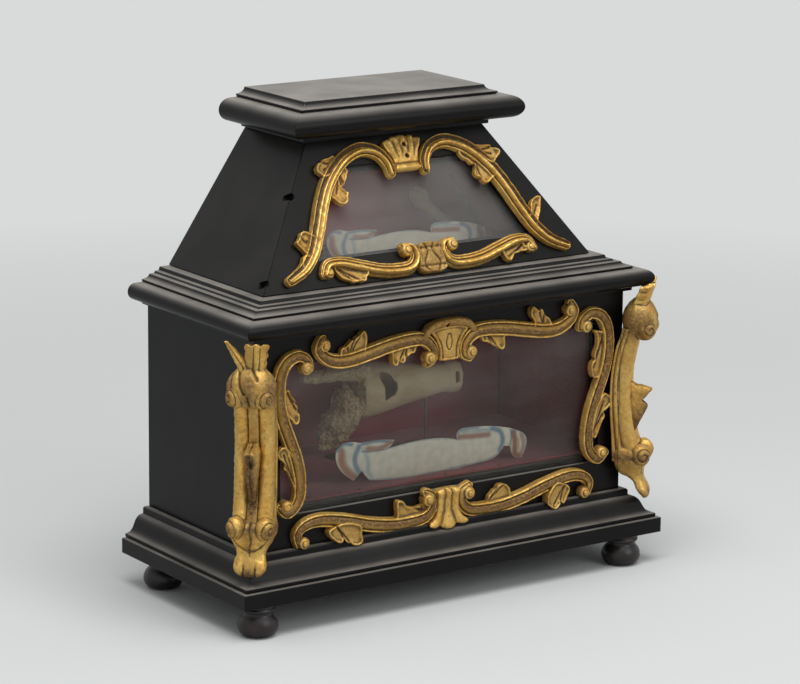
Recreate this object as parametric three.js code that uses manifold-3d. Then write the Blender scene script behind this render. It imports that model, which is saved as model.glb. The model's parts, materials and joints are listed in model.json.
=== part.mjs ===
// Sarcophagus reliquary: an ebonised casket on four bun feet, with a glazed chamber in its
// straight case and another in its sloping roof, a moulded cap, carved gilt frames round both
// panes and two gilt scroll brackets at the front corners. Two doors at the back give access.
// Millimetres, +Z up, front towards -Y. The origin ends up under the middle of the foot print.

import * as THREE from 'three';
import { mergeVertices } from 'three/addons/utils/BufferGeometryUtils.js';
import Module from 'manifold-3d';

const wasm = await Module();
wasm.setup();

// Driving dimensions. While building, x is 0 in the middle, y is 0 at the front face of the
// case and z is 0 on the table.
const seam = 0.3; // left open at every glued or resting joint
const caseHalfWidth = 183.5;
const caseDepth = 168;
const boardThickness = 12;
const slabBottom = 26;
const slabTop = 38.9;
const slabOverhang = 26.5;
const caseTop = 236.2;
const chamberFloor = 94;
const roofFoot = 266.4;
const roofTop = 376;
const roofFootHalfWidth = 163.5;
const roofTopHalfWidth = 88.6;
const roofFootFront = 21.06;
const roofTopFront = 76.36;
const roofThickness = 10;
const capTop = 409.5;
const liningThickness = 1.5;
const doorThickness = 10;

// Finishes
const finish = (color, roughness, metalness = 0) =>
  new THREE.MeshStandardMaterial({ color, roughness, metalness });
const ebonised = () => finish('#1d1c1d', 0.45);
const turnedWood = () => finish('#191414', 0.5);
const innerWood = () => finish('#4b3728', 0.8);
const gilt = () => finish('#b48a3c', 0.42, 0.8);
const brass = () => finish('#9a7b45', 0.4, 0.9);
const cloth = () => finish('#5b2a30', 0.95);
const paper = () => finish('#d8d5c6', 0.85);
const bone = () => finish('#c8ba98', 0.75);
const paneGlass = () => {
  const material = finish('#cfd8d6', 0.05);
  material.transparent = true;
  material.opacity = 0.3;
  return material;
};

const casket = new THREE.Group();

function addPiece(name, geometry, material, parent = casket) {
  const piece = new THREE.Mesh(geometry, material);
  piece.name = name;
  parent.add(piece);
  return piece;
}

// Solids: shared vertices merged, slivers dropped, faces turned outward.
function closedIndex(geometry) {
  const bare = geometry.index ? geometry.toNonIndexed() : geometry.clone();
  bare.deleteAttribute('normal');
  bare.deleteAttribute('uv');
  const merged = mergeVertices(bare, 1e-4);
  const position = merged.attributes.position;
  const kept = [];
  const a = new THREE.Vector3();
  const b = new THREE.Vector3();
  const c = new THREE.Vector3();
  let volume = 0;
  for (let i = 0; i < merged.index.count; i += 3) {
    const corners = [merged.index.getX(i), merged.index.getX(i + 1), merged.index.getX(i + 2)];
    if (new Set(corners).size < 3) continue;
    a.fromBufferAttribute(position, corners[0]);
    b.fromBufferAttribute(position, corners[1]);
    c.fromBufferAttribute(position, corners[2]);
    volume += a.dot(b.cross(c)) / 6;
    kept.push(corners);
  }
  if (volume < 0) kept.forEach((corners) => corners.reverse());
  merged.setIndex(kept.flat());
  return merged;
}

function solidOf(geometry) {
  const closed = closedIndex(geometry);
  return new wasm.Manifold(new wasm.Mesh({
    numProp: 3,
    vertProperties: new Float32Array(closed.attributes.position.array),
    triVerts: new Uint32Array(closed.index.array),
  }));
}

function geometryOf(solid) {
  const mesh = solid.getMesh();
  const geometry = new THREE.BufferGeometry();
  geometry.setAttribute('position', new THREE.BufferAttribute(new Float32Array(mesh.vertProperties), 3));
  geometry.setIndex(new THREE.BufferAttribute(new Uint32Array(mesh.triVerts), 1));
  return geometry;
}

const join = (geometries) => geometryOf(geometries.map(solidOf).reduce((whole, next) => whole.add(next)));

const cut = (geometry, tools) =>
  geometryOf(tools.map(solidOf).reduce((whole, tool) => whole.subtract(tool), solidOf(geometry)));

function mirrored(geometry) {
  return closedIndex(geometry.clone().scale(-1, 1, 1));
}

// A box given by its two ends along each axis.
function block([x0, x1], [y0, y1], [z0, z1]) {
  const box = new THREE.BoxGeometry(x1 - x0, y1 - y0, z1 - z0);
  return box.translate((x0 + x1) / 2, (y0 + y1) / 2, (z0 + z1) / 2);
}

// A box whose eight corners are moved: place(side, face, end) gives a point, each argument -1 or 1.
function skewBoard(place) {
  const box = new THREE.BoxGeometry(2, 2, 2);
  const position = box.attributes.position;
  for (let i = 0; i < position.count; i++) {
    const [x, y, z] = place(position.getX(i), position.getY(i), position.getZ(i));
    position.setXYZ(i, x, y, z);
  }
  return closedIndex(box);
}

const mix = (a, b, t) => a + (b - a) * t;

// Flat outlines
function outline(points) {
  return new THREE.Shape(points.map(([x, y]) => new THREE.Vector2(x, y)));
}

function plate(shape, depth, from = 0) {
  const geometry = new THREE.ExtrudeGeometry(shape, { depth, bevelEnabled: false, curveSegments: 5 });
  return geometry.translate(0, 0, from);
}

// Plinth slab, standing on four turned bun feet whose tenons enter it from below.
const footTenon = { radius: 5.5, length: 10 };
const footPlaces = {
  foot_front_left: [-189, -12],
  foot_front_right: [178, -12],
  foot_back_left: [-187, 139],
  foot_back_right: [178, 139],
};

function turned(profile, segments) {
  const points = profile.map(([radius, height]) => new THREE.Vector2(radius, height));
  return closedIndex(new THREE.LatheGeometry(points, segments).rotateX(Math.PI / 2));
}

function bunFoot() {
  const top = slabBottom - seam;
  return turned([
    [0, 0], [9.5, 0], [13.6, 1.6], [16.1, 5.4], [16.6, 9.6], [15, 14.4], [12.2, 17.8],
    [11.6, 20.2], [14.2, 21.8], [14.4, 23.6], [13.4, top],
    [footTenon.radius, top], [footTenon.radius, top + footTenon.length], [0, top + footTenon.length],
  ], 14);
}

function tenonHole([x, y]) {
  const depth = footTenon.length + 2 * seam;
  const hole = new THREE.CylinderGeometry(footTenon.radius + seam, footTenon.radius + seam, depth, 14);
  return hole.rotateX(Math.PI / 2).translate(x, y, slabBottom + depth / 2 - 0.2);
}

const slabHalfWidth = caseHalfWidth + slabOverhang;
addPiece('plinth_slab', cut(
  block([-slabHalfWidth, slabHalfWidth], [-slabOverhang, caseDepth], [slabBottom, slabTop]),
  Object.values(footPlaces).map(tenonHole),
), ebonised());
for (const [name, [x, y]] of Object.entries(footPlaces)) {
  addPiece(name, bunFoot(), turnedWood()).position.set(x, y, 0);
}

// Mouldings: a profile drawn as (distance out from the wall, height), run along the front and
// both sides with mitred front corners. The back ends stop flush with the back of the case.
const mitreGap = 0.2;

function mouldingRun(profile, startAt, endAt, place) {
  const length = new THREE.ExtrudeGeometry(profile, { depth: 1, bevelEnabled: false, curveSegments: 5 });
  const position = length.attributes.position;
  for (let i = 0; i < position.count; i++) {
    const out = position.getX(i);
    const along = position.getZ(i) < 0.5 ? startAt(out) : endAt(out);
    const [x, y] = place(out, along);
    position.setXYZ(i, x, y, position.getY(i));
  }
  return closedIndex(length);
}

function mitredMoulding(name, profile, wallHalfWidth, wallFront) {
  const reach = (out) => wallHalfWidth + out - mitreGap;
  const frontEnd = (out) => wallFront - out + mitreGap;
  addPiece(`${name}_front`, mouldingRun(profile, (out) => -reach(out), reach,
    (out, along) => [along, wallFront - out]), ebonised());
  for (const [side, sign] of [['left', -1], ['right', 1]]) {
    addPiece(`${name}_${side}`, mouldingRun(profile, frontEnd, () => caseDepth,
      (out, along) => [sign * (wallHalfWidth + out), along]), ebonised());
  }
}

function baseProfile() {
  const foot = slabTop + seam;
  const profile = new THREE.Shape();
  profile.moveTo(seam, foot);
  profile.lineTo(22.9, foot);
  profile.lineTo(22.9, 42.2);
  profile.bezierCurveTo(12.5, 42.4, 16.5, 56.7, 6.2, 56.9); // hollow below, round above
  profile.lineTo(5.7, 57.3);
  profile.lineTo(5.7, 60.8);
  profile.quadraticCurveTo(5.5, 62.8, 3.2, 62.8);
  profile.lineTo(seam, 62.8);
  return profile;
}

const corniceInside = -32; // the ring's inner edge, under the roof boards
const corniceRebate = 250.8;

function corniceProfile() {
  const profile = new THREE.Shape();
  profile.moveTo(seam, caseTop + seam);
  profile.lineTo(5, caseTop + seam);
  profile.lineTo(5, 238.2);
  profile.quadraticCurveTo(5.4, 241, 9.6, 241.2);
  profile.lineTo(11.8, 241.2);
  profile.absellipse(11.8, 248.1, 7, 6.9, -Math.PI / 2, Math.PI / 2, false); // torus nose
  profile.lineTo(4.4, 255.2);
  profile.lineTo(5.3, 255.9);
  profile.lineTo(5.3, 257.4);
  profile.quadraticCurveTo(-1, 257.8, -1.9, 261.1);
  profile.lineTo(-6.4, 261.3);
  profile.lineTo(-7.2, 262.9);
  profile.lineTo(-10.8, 263.2);
  profile.lineTo(-11.8, roofFoot - seam);
  profile.lineTo(corniceInside, roofFoot - seam);
  profile.lineTo(corniceInside, corniceRebate);
  profile.lineTo(seam, corniceRebate);
  return profile;
}

const capNeck = roofTop + 2 * seam;
const capLid = 402.5;

function capProfile() {
  const profile = new THREE.Shape();
  profile.moveTo(seam, capNeck);
  profile.lineTo(3.7, capNeck);
  profile.lineTo(3.7, 379.2);
  profile.quadraticCurveTo(4.4, 382, 10, 382.2);
  profile.lineTo(14.6, 382.2);
  profile.absellipse(14.6, 391.8, 11.1, 9.6, -Math.PI / 2, Math.PI / 2, false); // broad torus
  profile.lineTo(8.2, 401.6);
  profile.lineTo(8.2, capLid - seam);
  profile.lineTo(seam, capLid - seam);
  return profile;
}

mitredMoulding('base_moulding', baseProfile(), caseHalfWidth, 0);
mitredMoulding('cornice', corniceProfile(), caseHalfWidth, 0);
mitredMoulding('cap_moulding', capProfile(), roofTopHalfWidth, roofTopFront);

const ringHalfWidth = caseHalfWidth + corniceInside;
addPiece('cornice_back', block(
  [-ringHalfWidth + seam, ringHalfWidth - seam],
  [caseDepth - boardThickness, caseDepth],
  [corniceRebate, roofFoot - seam],
), ebonised());

// Case: a front board pierced for the pane, two sides, a raised chamber floor and a top board.
const wallFoot = slabTop + seam;
const insideHalfWidth = caseHalfWidth - boardThickness;
const lowerOpening = { halfWidth: 160, bottom: 90, top: 215 };
const rebate = 4; // how far the pane laps behind the wood
const paneFront = 4.8;
const paneThickness = 2;

// An upright window outline with sides that may lean, grown on all sides by margin.
function window({ bottom, top, halfWidth, topHalfWidth = halfWidth }, margin) {
  const lean = (topHalfWidth - halfWidth) / (top - bottom);
  const spread = margin * Math.hypot(1, lean);
  const low = halfWidth + spread - margin * lean;
  const high = topHalfWidth + spread + margin * lean;
  return outline([
    [-low, bottom - margin], [low, bottom - margin], [high, top + margin], [-high, top + margin],
  ]);
}

function ringPlate(outer, inner, depth, from) {
  outer.holes.push(inner);
  return plate(outer, depth, from);
}

// Upright things are drawn flat, facing +Z, in a group that stands them up facing the front.
const caseFace = new THREE.Group();
caseFace.rotation.x = Math.PI / 2;
casket.add(caseFace);

function pierced(board, opening, thickness) {
  return cut(board, [
    plate(window(opening, 0), thickness + 4, -thickness - 2),
    plate(window(opening, rebate), thickness, -thickness - (paneFront - seam)),
  ]);
}

function paneAndBead(prefix, opening, thickness, parent) {
  const paneBack = -paneFront - paneThickness;
  addPiece(`${prefix}_glass`, plate(window(opening, rebate - 0.4), paneThickness, paneBack),
    paneGlass(), parent);
  addPiece(`${prefix}_glazing_bead`, ringPlate(
    window(opening, rebate - seam), window(opening, -3.8), thickness + paneBack - 2 * seam, seam - thickness,
  ), ebonised(), parent);
}

addPiece('case_front', pierced(
  block([-caseHalfWidth, caseHalfWidth], [wallFoot, caseTop], [-boardThickness, 0]),
  lowerOpening, boardThickness,
), ebonised(), caseFace);
paneAndBead('lower', lowerOpening, boardThickness, caseFace);

for (const [side, sign] of [['left', -1], ['right', 1]]) {
  const faces = [sign * caseHalfWidth, sign * insideHalfWidth].sort((a, b) => a - b);
  addPiece(`case_side_${side}`, block(faces, [boardThickness + seam, caseDepth], [wallFoot, caseTop]),
    ebonised());
}
const doorFront = caseDepth - doorThickness;
const innerReach = insideHalfWidth - seam;
addPiece('case_floor', block([-innerReach, innerReach], [boardThickness + seam, doorFront - 0.5],
  [chamberFloor - 10, chamberFloor]), innerWood());
addPiece('case_top', block([-caseHalfWidth, caseHalfWidth], [0, caseDepth],
  [caseTop + seam, corniceRebate - seam]), ebonised());

// Roof: three sloping boards mitred at the hips. The back is upright and stays open for a door.
const roofRise = roofTop - roofFoot;
const outerHalf = (z) => mix(roofFootHalfWidth, roofTopHalfWidth, (z - roofFoot) / roofRise);
const outerFront = (z) => mix(roofFootFront, roofTopFront, (z - roofFoot) / roofRise);
const sideLean = Math.atan((roofFootHalfWidth - roofTopHalfWidth) / roofRise);
const frontLean = Math.atan((roofTopFront - roofFootFront) / roofRise);
const innerHalf = (z) => outerHalf(z) - roofThickness / Math.cos(sideLean);
const innerFront = (z) => outerFront(z) + roofThickness / Math.cos(frontLean);
const roofEnds = [roofFoot + seam, roofTop];

const roofFace = new THREE.Group();
roofFace.position.set(0, roofFootFront, roofFoot);
roofFace.rotation.x = Math.PI / 2 - frontLean;
roofFace.updateMatrix();
casket.add(roofFace);

const upperOpening = { halfWidth: 108, topHalfWidth: 68, bottom: 24, top: 99 };
const roofFrontBoard = skewBoard((side, face, end) => {
  const z = roofEnds[(end + 1) / 2];
  const half = (face < 0 ? outerHalf(z) : innerHalf(z)) - mitreGap;
  return [side * half, face < 0 ? outerFront(z) : innerFront(z), z];
}).applyMatrix4(roofFace.matrix.clone().invert());
addPiece('roof_front', pierced(roofFrontBoard, upperOpening, roofThickness), ebonised(), roofFace);
paneAndBead('upper', upperOpening, roofThickness, roofFace);

for (const [side, sign] of [['left', -1], ['right', 1]]) {
  addPiece(`roof_side_${side}`, skewBoard((face, end, height) => {
    const z = roofEnds[(height + 1) / 2];
    const half = face < 0 ? innerHalf(z) : outerHalf(z);
    const hip = (face < 0 ? innerFront(z) : outerFront(z)) + mitreGap;
    return [sign * half, end < 0 ? hip : caseDepth, z];
  }), ebonised());
}

// Cap: a core board inside its mouldings, and a lid board with a hollow-moulded edge.
addPiece('cap_core', block([-roofTopHalfWidth, roofTopHalfWidth], [roofTopFront, caseDepth],
  [capNeck, capLid - seam]), ebonised());

function capLidBoard() {
  const steps = 5;
  const fillet = 9.2;
  const lip = 1;
  const filletTop = capLid + 1.8;
  const lid = new THREE.BoxGeometry(2, 2, 1, 1, 1, steps + 1);
  const position = lid.attributes.position;
  for (let i = 0; i < position.count; i++) {
    const level = Math.round((position.getZ(i) + 0.5) * (steps + 1));
    const turn = ((level - 1) / steps) * (Math.PI / 2);
    const out = level === 0 ? fillet : mix(fillet, lip, Math.sin(turn));
    const z = level === 0 ? capLid : mix(capTop, filletTop, Math.cos(turn));
    const y = position.getY(i) < 0 ? roofTopFront - out : caseDepth;
    position.setXYZ(i, position.getX(i) * (roofTopHalfWidth + out), y, z);
  }
  return closedIndex(lid);
}

addPiece('cap_lid', capLidBoard(), ebonised());

// Doors at the back: a side-hung one for the case and a flap, hung at its head, for the roof.
const knuckle = { radius: 2.2, pin: 0.9, bore: 1.2, leaf: 1.2 };
const hingeAxisY = caseDepth + seam + knuckle.radius;

// A strip hinge along local Z: the fixed leaf lies towards -X with every other knuckle and the
// pin, the moving leaf towards +X with the knuckles between. Both lie on the plane y = 0.
function hingeLeaves({ length, knuckles, fixedWidth, movingWidth }) {
  const half = length / 2;
  const pitch = length / knuckles;
  const spans = Array.from({ length: knuckles }, (_, i) => [i * pitch - half, (i + 1) * pitch - half]);
  const fixedSpans = spans.filter((_, i) => i % 2 === 0);
  const movingSpans = spans.filter((_, i) => i % 2 === 1);
  const rod = (radius, [from, to]) => new THREE.CylinderGeometry(radius, radius, to - from, 10)
    .rotateX(Math.PI / 2).translate(0, knuckle.radius, (from + to) / 2);
  const tube = ([from, to]) => rod(knuckle.radius, [from + seam / 2, to - seam / 2]);
  const clear = knuckle.radius + seam;
  const notch = ([from, to]) => block([-clear, clear], [-1, 6], [from - seam / 2, to + seam / 2]);
  const leafPlate = (x, notches) => cut(block(x, [0, knuckle.leaf], [-half, half]), notches.map(notch));
  const fixed = join([
    leafPlate([-fixedWidth, 0], movingSpans),
    ...fixedSpans.map(tube),
    rod(knuckle.pin, [1 - half, half - 1]),
  ]);
  const moving = cut(
    join([leafPlate([0, movingWidth], fixedSpans), ...movingSpans.map(tube)]),
    [rod(knuckle.bore, [-half - 1, half + 1])],
  );
  return { fixed, moving };
}

const doorGap = 0.6;
const lowerDoorBox = { bottom: wallFoot + 0.5, top: caseTop - 0.4, halfWidth: insideHalfWidth - doorGap };
addPiece('lower_door', block([-lowerDoorBox.halfWidth, lowerDoorBox.halfWidth], [doorFront, caseDepth],
  [lowerDoorBox.bottom, lowerDoorBox.top]), ebonised());

const lowerHinge = hingeLeaves({ length: 150, knuckles: 5, fixedWidth: 11, movingWidth: 15 });
const lowerHingeX = -insideHalfWidth + doorGap / 2;
for (const leaf of ['fixed', 'moving']) {
  addPiece(`lower_hinge_${leaf}_leaf`, lowerHinge[leaf], brass())
    .position.set(lowerHingeX, caseDepth + seam, (wallFoot + caseTop) / 2);
}

const flapBottom = roofFoot + 0.8;
const flapTop = roofTop - 0.4;
addPiece('upper_door', skewBoard((side, face, end) => {
  const z = end < 0 ? flapBottom : flapTop;
  return [side * (innerHalf(z) - 0.8), face < 0 ? doorFront : caseDepth, z];
}), ebonised());
const upperHinge = hingeLeaves({ length: 90, knuckles: 5, fixedWidth: 12, movingWidth: 16 });
for (const leaf of ['fixed', 'moving']) {
  const piece = addPiece(`upper_hinge_${leaf}_leaf`, upperHinge[leaf], brass());
  piece.rotation.y = Math.PI / 2; // local +X points down, local Z runs along the flap's head
  piece.position.set(0, caseDepth + seam, roofTop);
}

// Brass turn-buttons, each swinging on a fixed post beside its door.
const button = { reach: 20, radius: 5, thickness: 2.4, bore: 2, post: 1.7 };

function turnButton() {
  const shape = new THREE.Shape();
  shape.absarc(0, 0, button.radius, Math.PI, 0, false);
  shape.lineTo(button.radius * 0.7, button.reach);
  shape.absarc(0, button.reach, button.radius * 0.7, 0, Math.PI, false);
  const bore = new THREE.Path();
  bore.absarc(0, 0, button.bore, 0, Math.PI * 2, true);
  shape.holes.push(bore);
  return closedIndex(plate(shape, button.thickness));
}

function turnButtonPost() {
  const under = -6;
  const over = button.thickness + seam;
  return turned([
    [0, under], [button.post, under], [button.post, over], [3.6, over], [3.2, over + 1],
    [1.8, over + 1.7], [0, over + 1.9],
  ], 10);
}

// Drawn lying flat, they stand on the back plane: local Z points away from it, and local Y,
// along the button's arm, points up or turned from there towards the right.
function onBack(name, geometry, material, x, z, turn) {
  const piece = addPiece(name, geometry, material);
  piece.rotation.set(-Math.PI / 2, 0, Math.PI - turn);
  piece.position.set(x, caseDepth + seam, z);
  return piece;
}

function drillForPost(pieceName, x, z) {
  const piece = casket.getObjectByName(pieceName);
  const hole = new THREE.CylinderGeometry(button.bore, button.bore, 10, 16).translate(x, caseDepth, z);
  piece.geometry = cut(piece.geometry, [hole.translate(0, -2, 0)]);
}

const lowerButtonPlace = [caseHalfWidth - boardThickness / 2, 137];
const upperButtonPlace = [0, corniceRebate + 7.8];
for (const [prefix, carrier, [x, z], turn] of [
  ['lower', 'case_side_right', lowerButtonPlace, 0],
  ['upper', 'cornice_back', upperButtonPlace, Math.PI / 2],
]) {
  drillForPost(carrier, x, z);
  onBack(`${prefix}_turn_button`, turnButton(), brass(), x, z, turn);
  onBack(`${prefix}_button_post`, turnButtonPost(), brass(), x, z, turn);
}

// Linings: thin cloth-covered card round each chamber and on the inside of each door.
const liningFront = boardThickness + 2;
const liningBack = doorFront - 2 * seam - liningThickness - 0.5;

function liningTube(outer, inner, frontAt) {
  const tube = ringPlate(outer, inner, 1, 0).rotateX(Math.PI / 2);
  const position = tube.attributes.position;
  for (let i = 0; i < position.count; i++) {
    const z = position.getZ(i);
    position.setY(i, position.getY(i) < -0.5 ? frontAt(z) : liningBack);
  }
  return closedIndex(tube);
}

const lowerLiningOut = insideHalfWidth - seam;
const lowerLiningIn = lowerLiningOut - liningThickness;
const liningTop = caseTop - seam;
addPiece('lower_lining', liningTube(
  outline([
    [-lowerLiningOut, chamberFloor + seam], [lowerLiningOut, chamberFloor + seam],
    [lowerLiningOut, liningTop], [-lowerLiningOut, liningTop],
  ]),
  outline([
    [-lowerLiningIn, chamberFloor + seam + liningThickness],
    [lowerLiningIn, chamberFloor + seam + liningThickness],
    [lowerLiningIn, liningTop - liningThickness], [-lowerLiningIn, liningTop - liningThickness],
  ]),
  () => liningFront,
), cloth());

function upperLiningOutline(inset) {
  const foot = corniceRebate + inset;
  const top = roofTop - seam - inset;
  const half = ringHalfWidth - seam - inset;
  const shoulder = innerHalf(top) - seam - inset;
  return outline([
    [-half, foot], [half, foot], [half, roofFoot - 0.3 * inset], [shoulder, top],
    [-shoulder, top], [-half, roofFoot - 0.3 * inset],
  ]);
}

addPiece('upper_lining', liningTube(
  upperLiningOutline(0),
  upperLiningOutline(liningThickness),
  (z) => innerFront(Math.max(z, roofFoot)) + 2 * seam,
), cloth());

const doorLiningFace = [doorFront - seam - liningThickness, doorFront - seam];
const lowerDoorLiningHalf = lowerLiningIn - 1;
addPiece('lower_door_lining', block([-lowerDoorLiningHalf, lowerDoorLiningHalf], doorLiningFace,
  [chamberFloor + 1, caseTop - 4]), cloth());
addPiece('upper_door_lining', skewBoard((side, face, end) => {
  const z = end < 0 ? roofFoot + 3 : roofTop - 4;
  return [side * (innerHalf(z) - 5), doorLiningFace[(face + 1) / 2], z];
}), cloth());

// Carving. Everything gilt is drawn face up: x across, y up the wall and z out from it.
const liftOff = seam;

// A closed section carried along a path: place(t, u, h) gives the point for the section corner
// (u, h) at t from 0 to 1.
function sweep(section, steps, place) {
  const band = new THREE.CylinderGeometry(1, 1, 1, section.length, steps);
  const position = band.attributes.position;
  const middle = [0, 0.2]; // every corner of a section is in plain sight of this point
  for (let i = 0; i < position.count; i++) {
    const [x, z] = [position.getX(i), position.getZ(i)];
    const turn = Math.atan2(x, z) / (2 * Math.PI);
    const corner = Math.round(turn * section.length + section.length) % section.length;
    const [u, h] = Math.hypot(x, z) < 0.5 ? middle : section[corner];
    position.setXYZ(i, ...place(position.getY(i) + 0.5, u, h));
  }
  return closedIndex(band);
}

// Rims, hollow, ridge and quirk of the gilt bands, as (across, height) of a unit band.
const bandSection = [
  [-0.5, 0], [-0.5, 0.5], [-0.3, 0.58], [0.05, 1], [0.36, 0.6], [0.5, 0.46], [0.5, 0],
];
const ribSection = [[-0.5, 0], [-0.36, 0.7], [0, 1], [0.36, 0.7], [0.5, 0]];

function scrollBand({ path, width, height, taper = 0.4, steps = 14, section = bandSection }) {
  const curve = new THREE.SplineCurve(path.map(([x, y]) => new THREE.Vector2(x, y)));
  return sweep(section, steps, (t, u, h) => {
    const at = curve.getPoint(t);
    const ahead = curve.getTangent(t);
    const narrowing = 1 - taper * Math.abs(2 * t - 1) ** 3;
    const out = u * width * narrowing;
    return [at.x - ahead.y * out, at.y + ahead.x * out, liftOff + h * height * (0.7 + 0.3 * narrowing)];
  });
}

// The rounded eye of a volute.
function eye([x, y], radius, height) {
  return turned([
    [0, 0], [radius, 0], [radius, 0.5 * height], [0.72 * radius, 0.86 * height], [0, height],
  ], 8).translate(x, y, liftOff);
}

// A leaf growing along a band from root to tip and dropping back to heel, with scalloped lobes.
function leaf({ root, tip, heel, lobes = 2, bulge = 0.16, depth = 3.6 }) {
  const from = new THREE.Vector2(...root);
  const to = new THREE.Vector2(...tip);
  const along = to.clone().sub(from);
  const side = Math.sign(along.x * (heel[1] - root[1]) - along.y * (heel[0] - root[0]));
  const out = new THREE.Vector2(along.y, -along.x).multiplyScalar(side * bulge);
  const at = (t, push) => from.clone().addScaledVector(along, t).addScaledVector(out, push);
  const shape = new THREE.Shape();
  shape.moveTo(from.x, from.y);
  for (let lobe = 1; lobe <= lobes; lobe++) {
    const crest = at((lobe - 0.55) / lobes, 1.6);
    const end = lobe === lobes ? to : at(lobe / lobes, 0.5);
    shape.quadraticCurveTo(crest.x, crest.y, end.x, end.y);
    if (lobe < lobes) {
      const notch = at(lobe / lobes + 0.02, -0.35);
      shape.lineTo(notch.x, notch.y);
    }
  }
  const hollow = at(0.86, -1.3);
  shape.quadraticCurveTo(hollow.x, hollow.y, heel[0], heel[1]);
  return plate(shape, depth, liftOff);
}

// A shell: ribs fanning from a narrow waist to a scalloped edge.
function shell({ from, to, halfWaist, halfEdge, ribs, height, sag = 0 }) {
  const pieces = [];
  for (let rib = 0; rib < ribs; rib++) {
    const place = ribs === 1 ? 0 : (2 * rib) / (ribs - 1) - 1;
    const waistX = place * halfWaist * (1 - 1 / ribs);
    const edgeX = place * halfEdge * (1 - 1 / ribs);
    const edgeY = to - sag * place * place;
    const pitch = (2 * halfWaist) / ribs;
    const spread = (halfEdge / halfWaist) * pitch;
    pieces.push(sweep(ribSection, 3, (t, u, h) => {
      const open = t ** 1.6;
      const thin = 1 - 0.35 * t ** 4;
      return [
        mix(waistX, edgeX, open) + u * mix(pitch, spread, open) * 1.15,
        mix(from, edgeY, t),
        liftOff + h * height * thin,
      ];
    }));
  }
  return join(pieces);
}

// Half a frame piece and its mirror image, joined by what stands between them.
const bothSides = (half, middle) => join([...half, ...half.map(mirrored), ...middle]);

const roomForMoulding = (piece, mouldingTop, standOut) =>
  cut(piece, [block([-300, 300], [mouldingTop - 60, mouldingTop + seam], [-1, standOut + seam])]);

// Lower frame: crest, apron and two side scrolls round the case's pane.
const lowerCrest = bothSides([
  scrollBand({
    path: [
      [21, 199.6], [15.8, 203.5], [16.4, 212], [25, 219.8], [38, 221.4], [58, 219.4], [78, 215.6],
      [97, 212.4], [111, 212.8], [121.5, 217.4], [127.4, 225], [124, 233.4],
    ],
    width: 13, height: 9,
  }),
  eye([20.8, 204.8], 5.4, 10.5),
  eye([122.6, 227.6], 5.4, 9.5),
  leaf({ root: [106, 214], tip: [84, 235.4], heel: [83, 218] }),
  leaf({ root: [30, 217], tip: [56, 203.8], heel: [59, 216] }),
], [
  plate(outline([
    [-9.5, 200.5], [9.5, 200.5], [12.5, 213], [20, 223], [27, 229.5], [20, 234.4], [9, 236.1],
    [-9, 236.1], [-20, 234.4], [-27, 229.5], [-20, 223], [-12.5, 213],
  ]), 6.4, liftOff),
  shell({ from: 203.5, to: 235.6, halfWaist: 8, halfEdge: 21, ribs: 5, height: 9.4, sag: 6 }),
]);
addPiece('lower_frame_crest', lowerCrest, gilt(), caseFace);

const lowerApron = bothSides([
  scrollBand({
    path: [
      [21.4, 90.4], [14.8, 86], [14.6, 77], [22, 69.8], [36, 67.6], [55, 67.8], [78, 72], [101, 78.4],
      [124, 82.8], [139, 81.2], [147, 74.4], [145.4, 65.6],
    ],
    width: 13, height: 9,
  }),
  eye([20.6, 84.6], 5.4, 10.5),
  eye([141.6, 66.6], 5, 9.5),
  leaf({ root: [28, 70], tip: [51.5, 88.5], heel: [54, 71], bulge: 0.12 }),
  leaf({ root: [118, 79], tip: [91, 58.6], heel: [87, 71] }),
], [
  shell({ from: 91, to: 58, halfWaist: 10.5, halfEdge: 19, ribs: 4, height: 10.5, sag: -4 }),
]);
addPiece('lower_frame_apron', roomForMoulding(lowerApron, 62.8, 6.4), gilt(), caseFace);

const lowerSideScroll = join([
  scrollBand({
    path: [
      [135.4, 210.5], [138, 217.4], [147, 221.6], [157.6, 217.4], [163.8, 206], [165, 189.6],
      [161.8, 171.6], [154.8, 153.4], [148, 135], [144.8, 116], [147, 101.8], [156, 93.4], [164, 98.5],
    ],
    width: 12.6, height: 9,
  }),
  eye([140, 211.4], 5.4, 10),
  eye([158.6, 99.6], 5.4, 10.5),
  leaf({ root: [157, 203], tip: [143.5, 168.6], heel: [153, 164], lobes: 3, bulge: 0.1 }),
  leaf({ root: [150, 118], tip: [167.4, 148], heel: [160, 154], lobes: 2, bulge: 0.12 }),
]);
addPiece('lower_frame_scroll_right', lowerSideScroll, gilt(), caseFace);
addPiece('lower_frame_scroll_left', mirrored(lowerSideScroll), gilt(), caseFace);

// Upper frame, on the slope of the roof: two long scrolls, a nailed shell and an apron.
const upperScroll = join([
  scrollBand({
    path: [
      [17.2, 88], [18.6, 97], [26, 106.4], [38, 110.6], [50, 108.8], [64.6, 101], [80.2, 85.4],
      [91.4, 67], [100.8, 47], [110.6, 29], [122.4, 16.6], [137.4, 9],
    ],
    width: 13, height: 10, taper: 0.34,
  }),
  leaf({ root: [46, 103], tip: [66, 68], heel: [80, 80], lobes: 3, bulge: 0.12 }),
  leaf({ root: [64, 104], tip: [85.6, 95.4], heel: [79, 89], lobes: 2, bulge: 0.2 }),
  leaf({ root: [112, 28], tip: [117, 50.5], heel: [103, 47], lobes: 2, bulge: 0.16 }),
]);
addPiece('upper_frame_scroll_right', upperScroll, gilt(), roofFace);
addPiece('upper_frame_scroll_left', mirrored(upperScroll), gilt(), roofFace);

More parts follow.
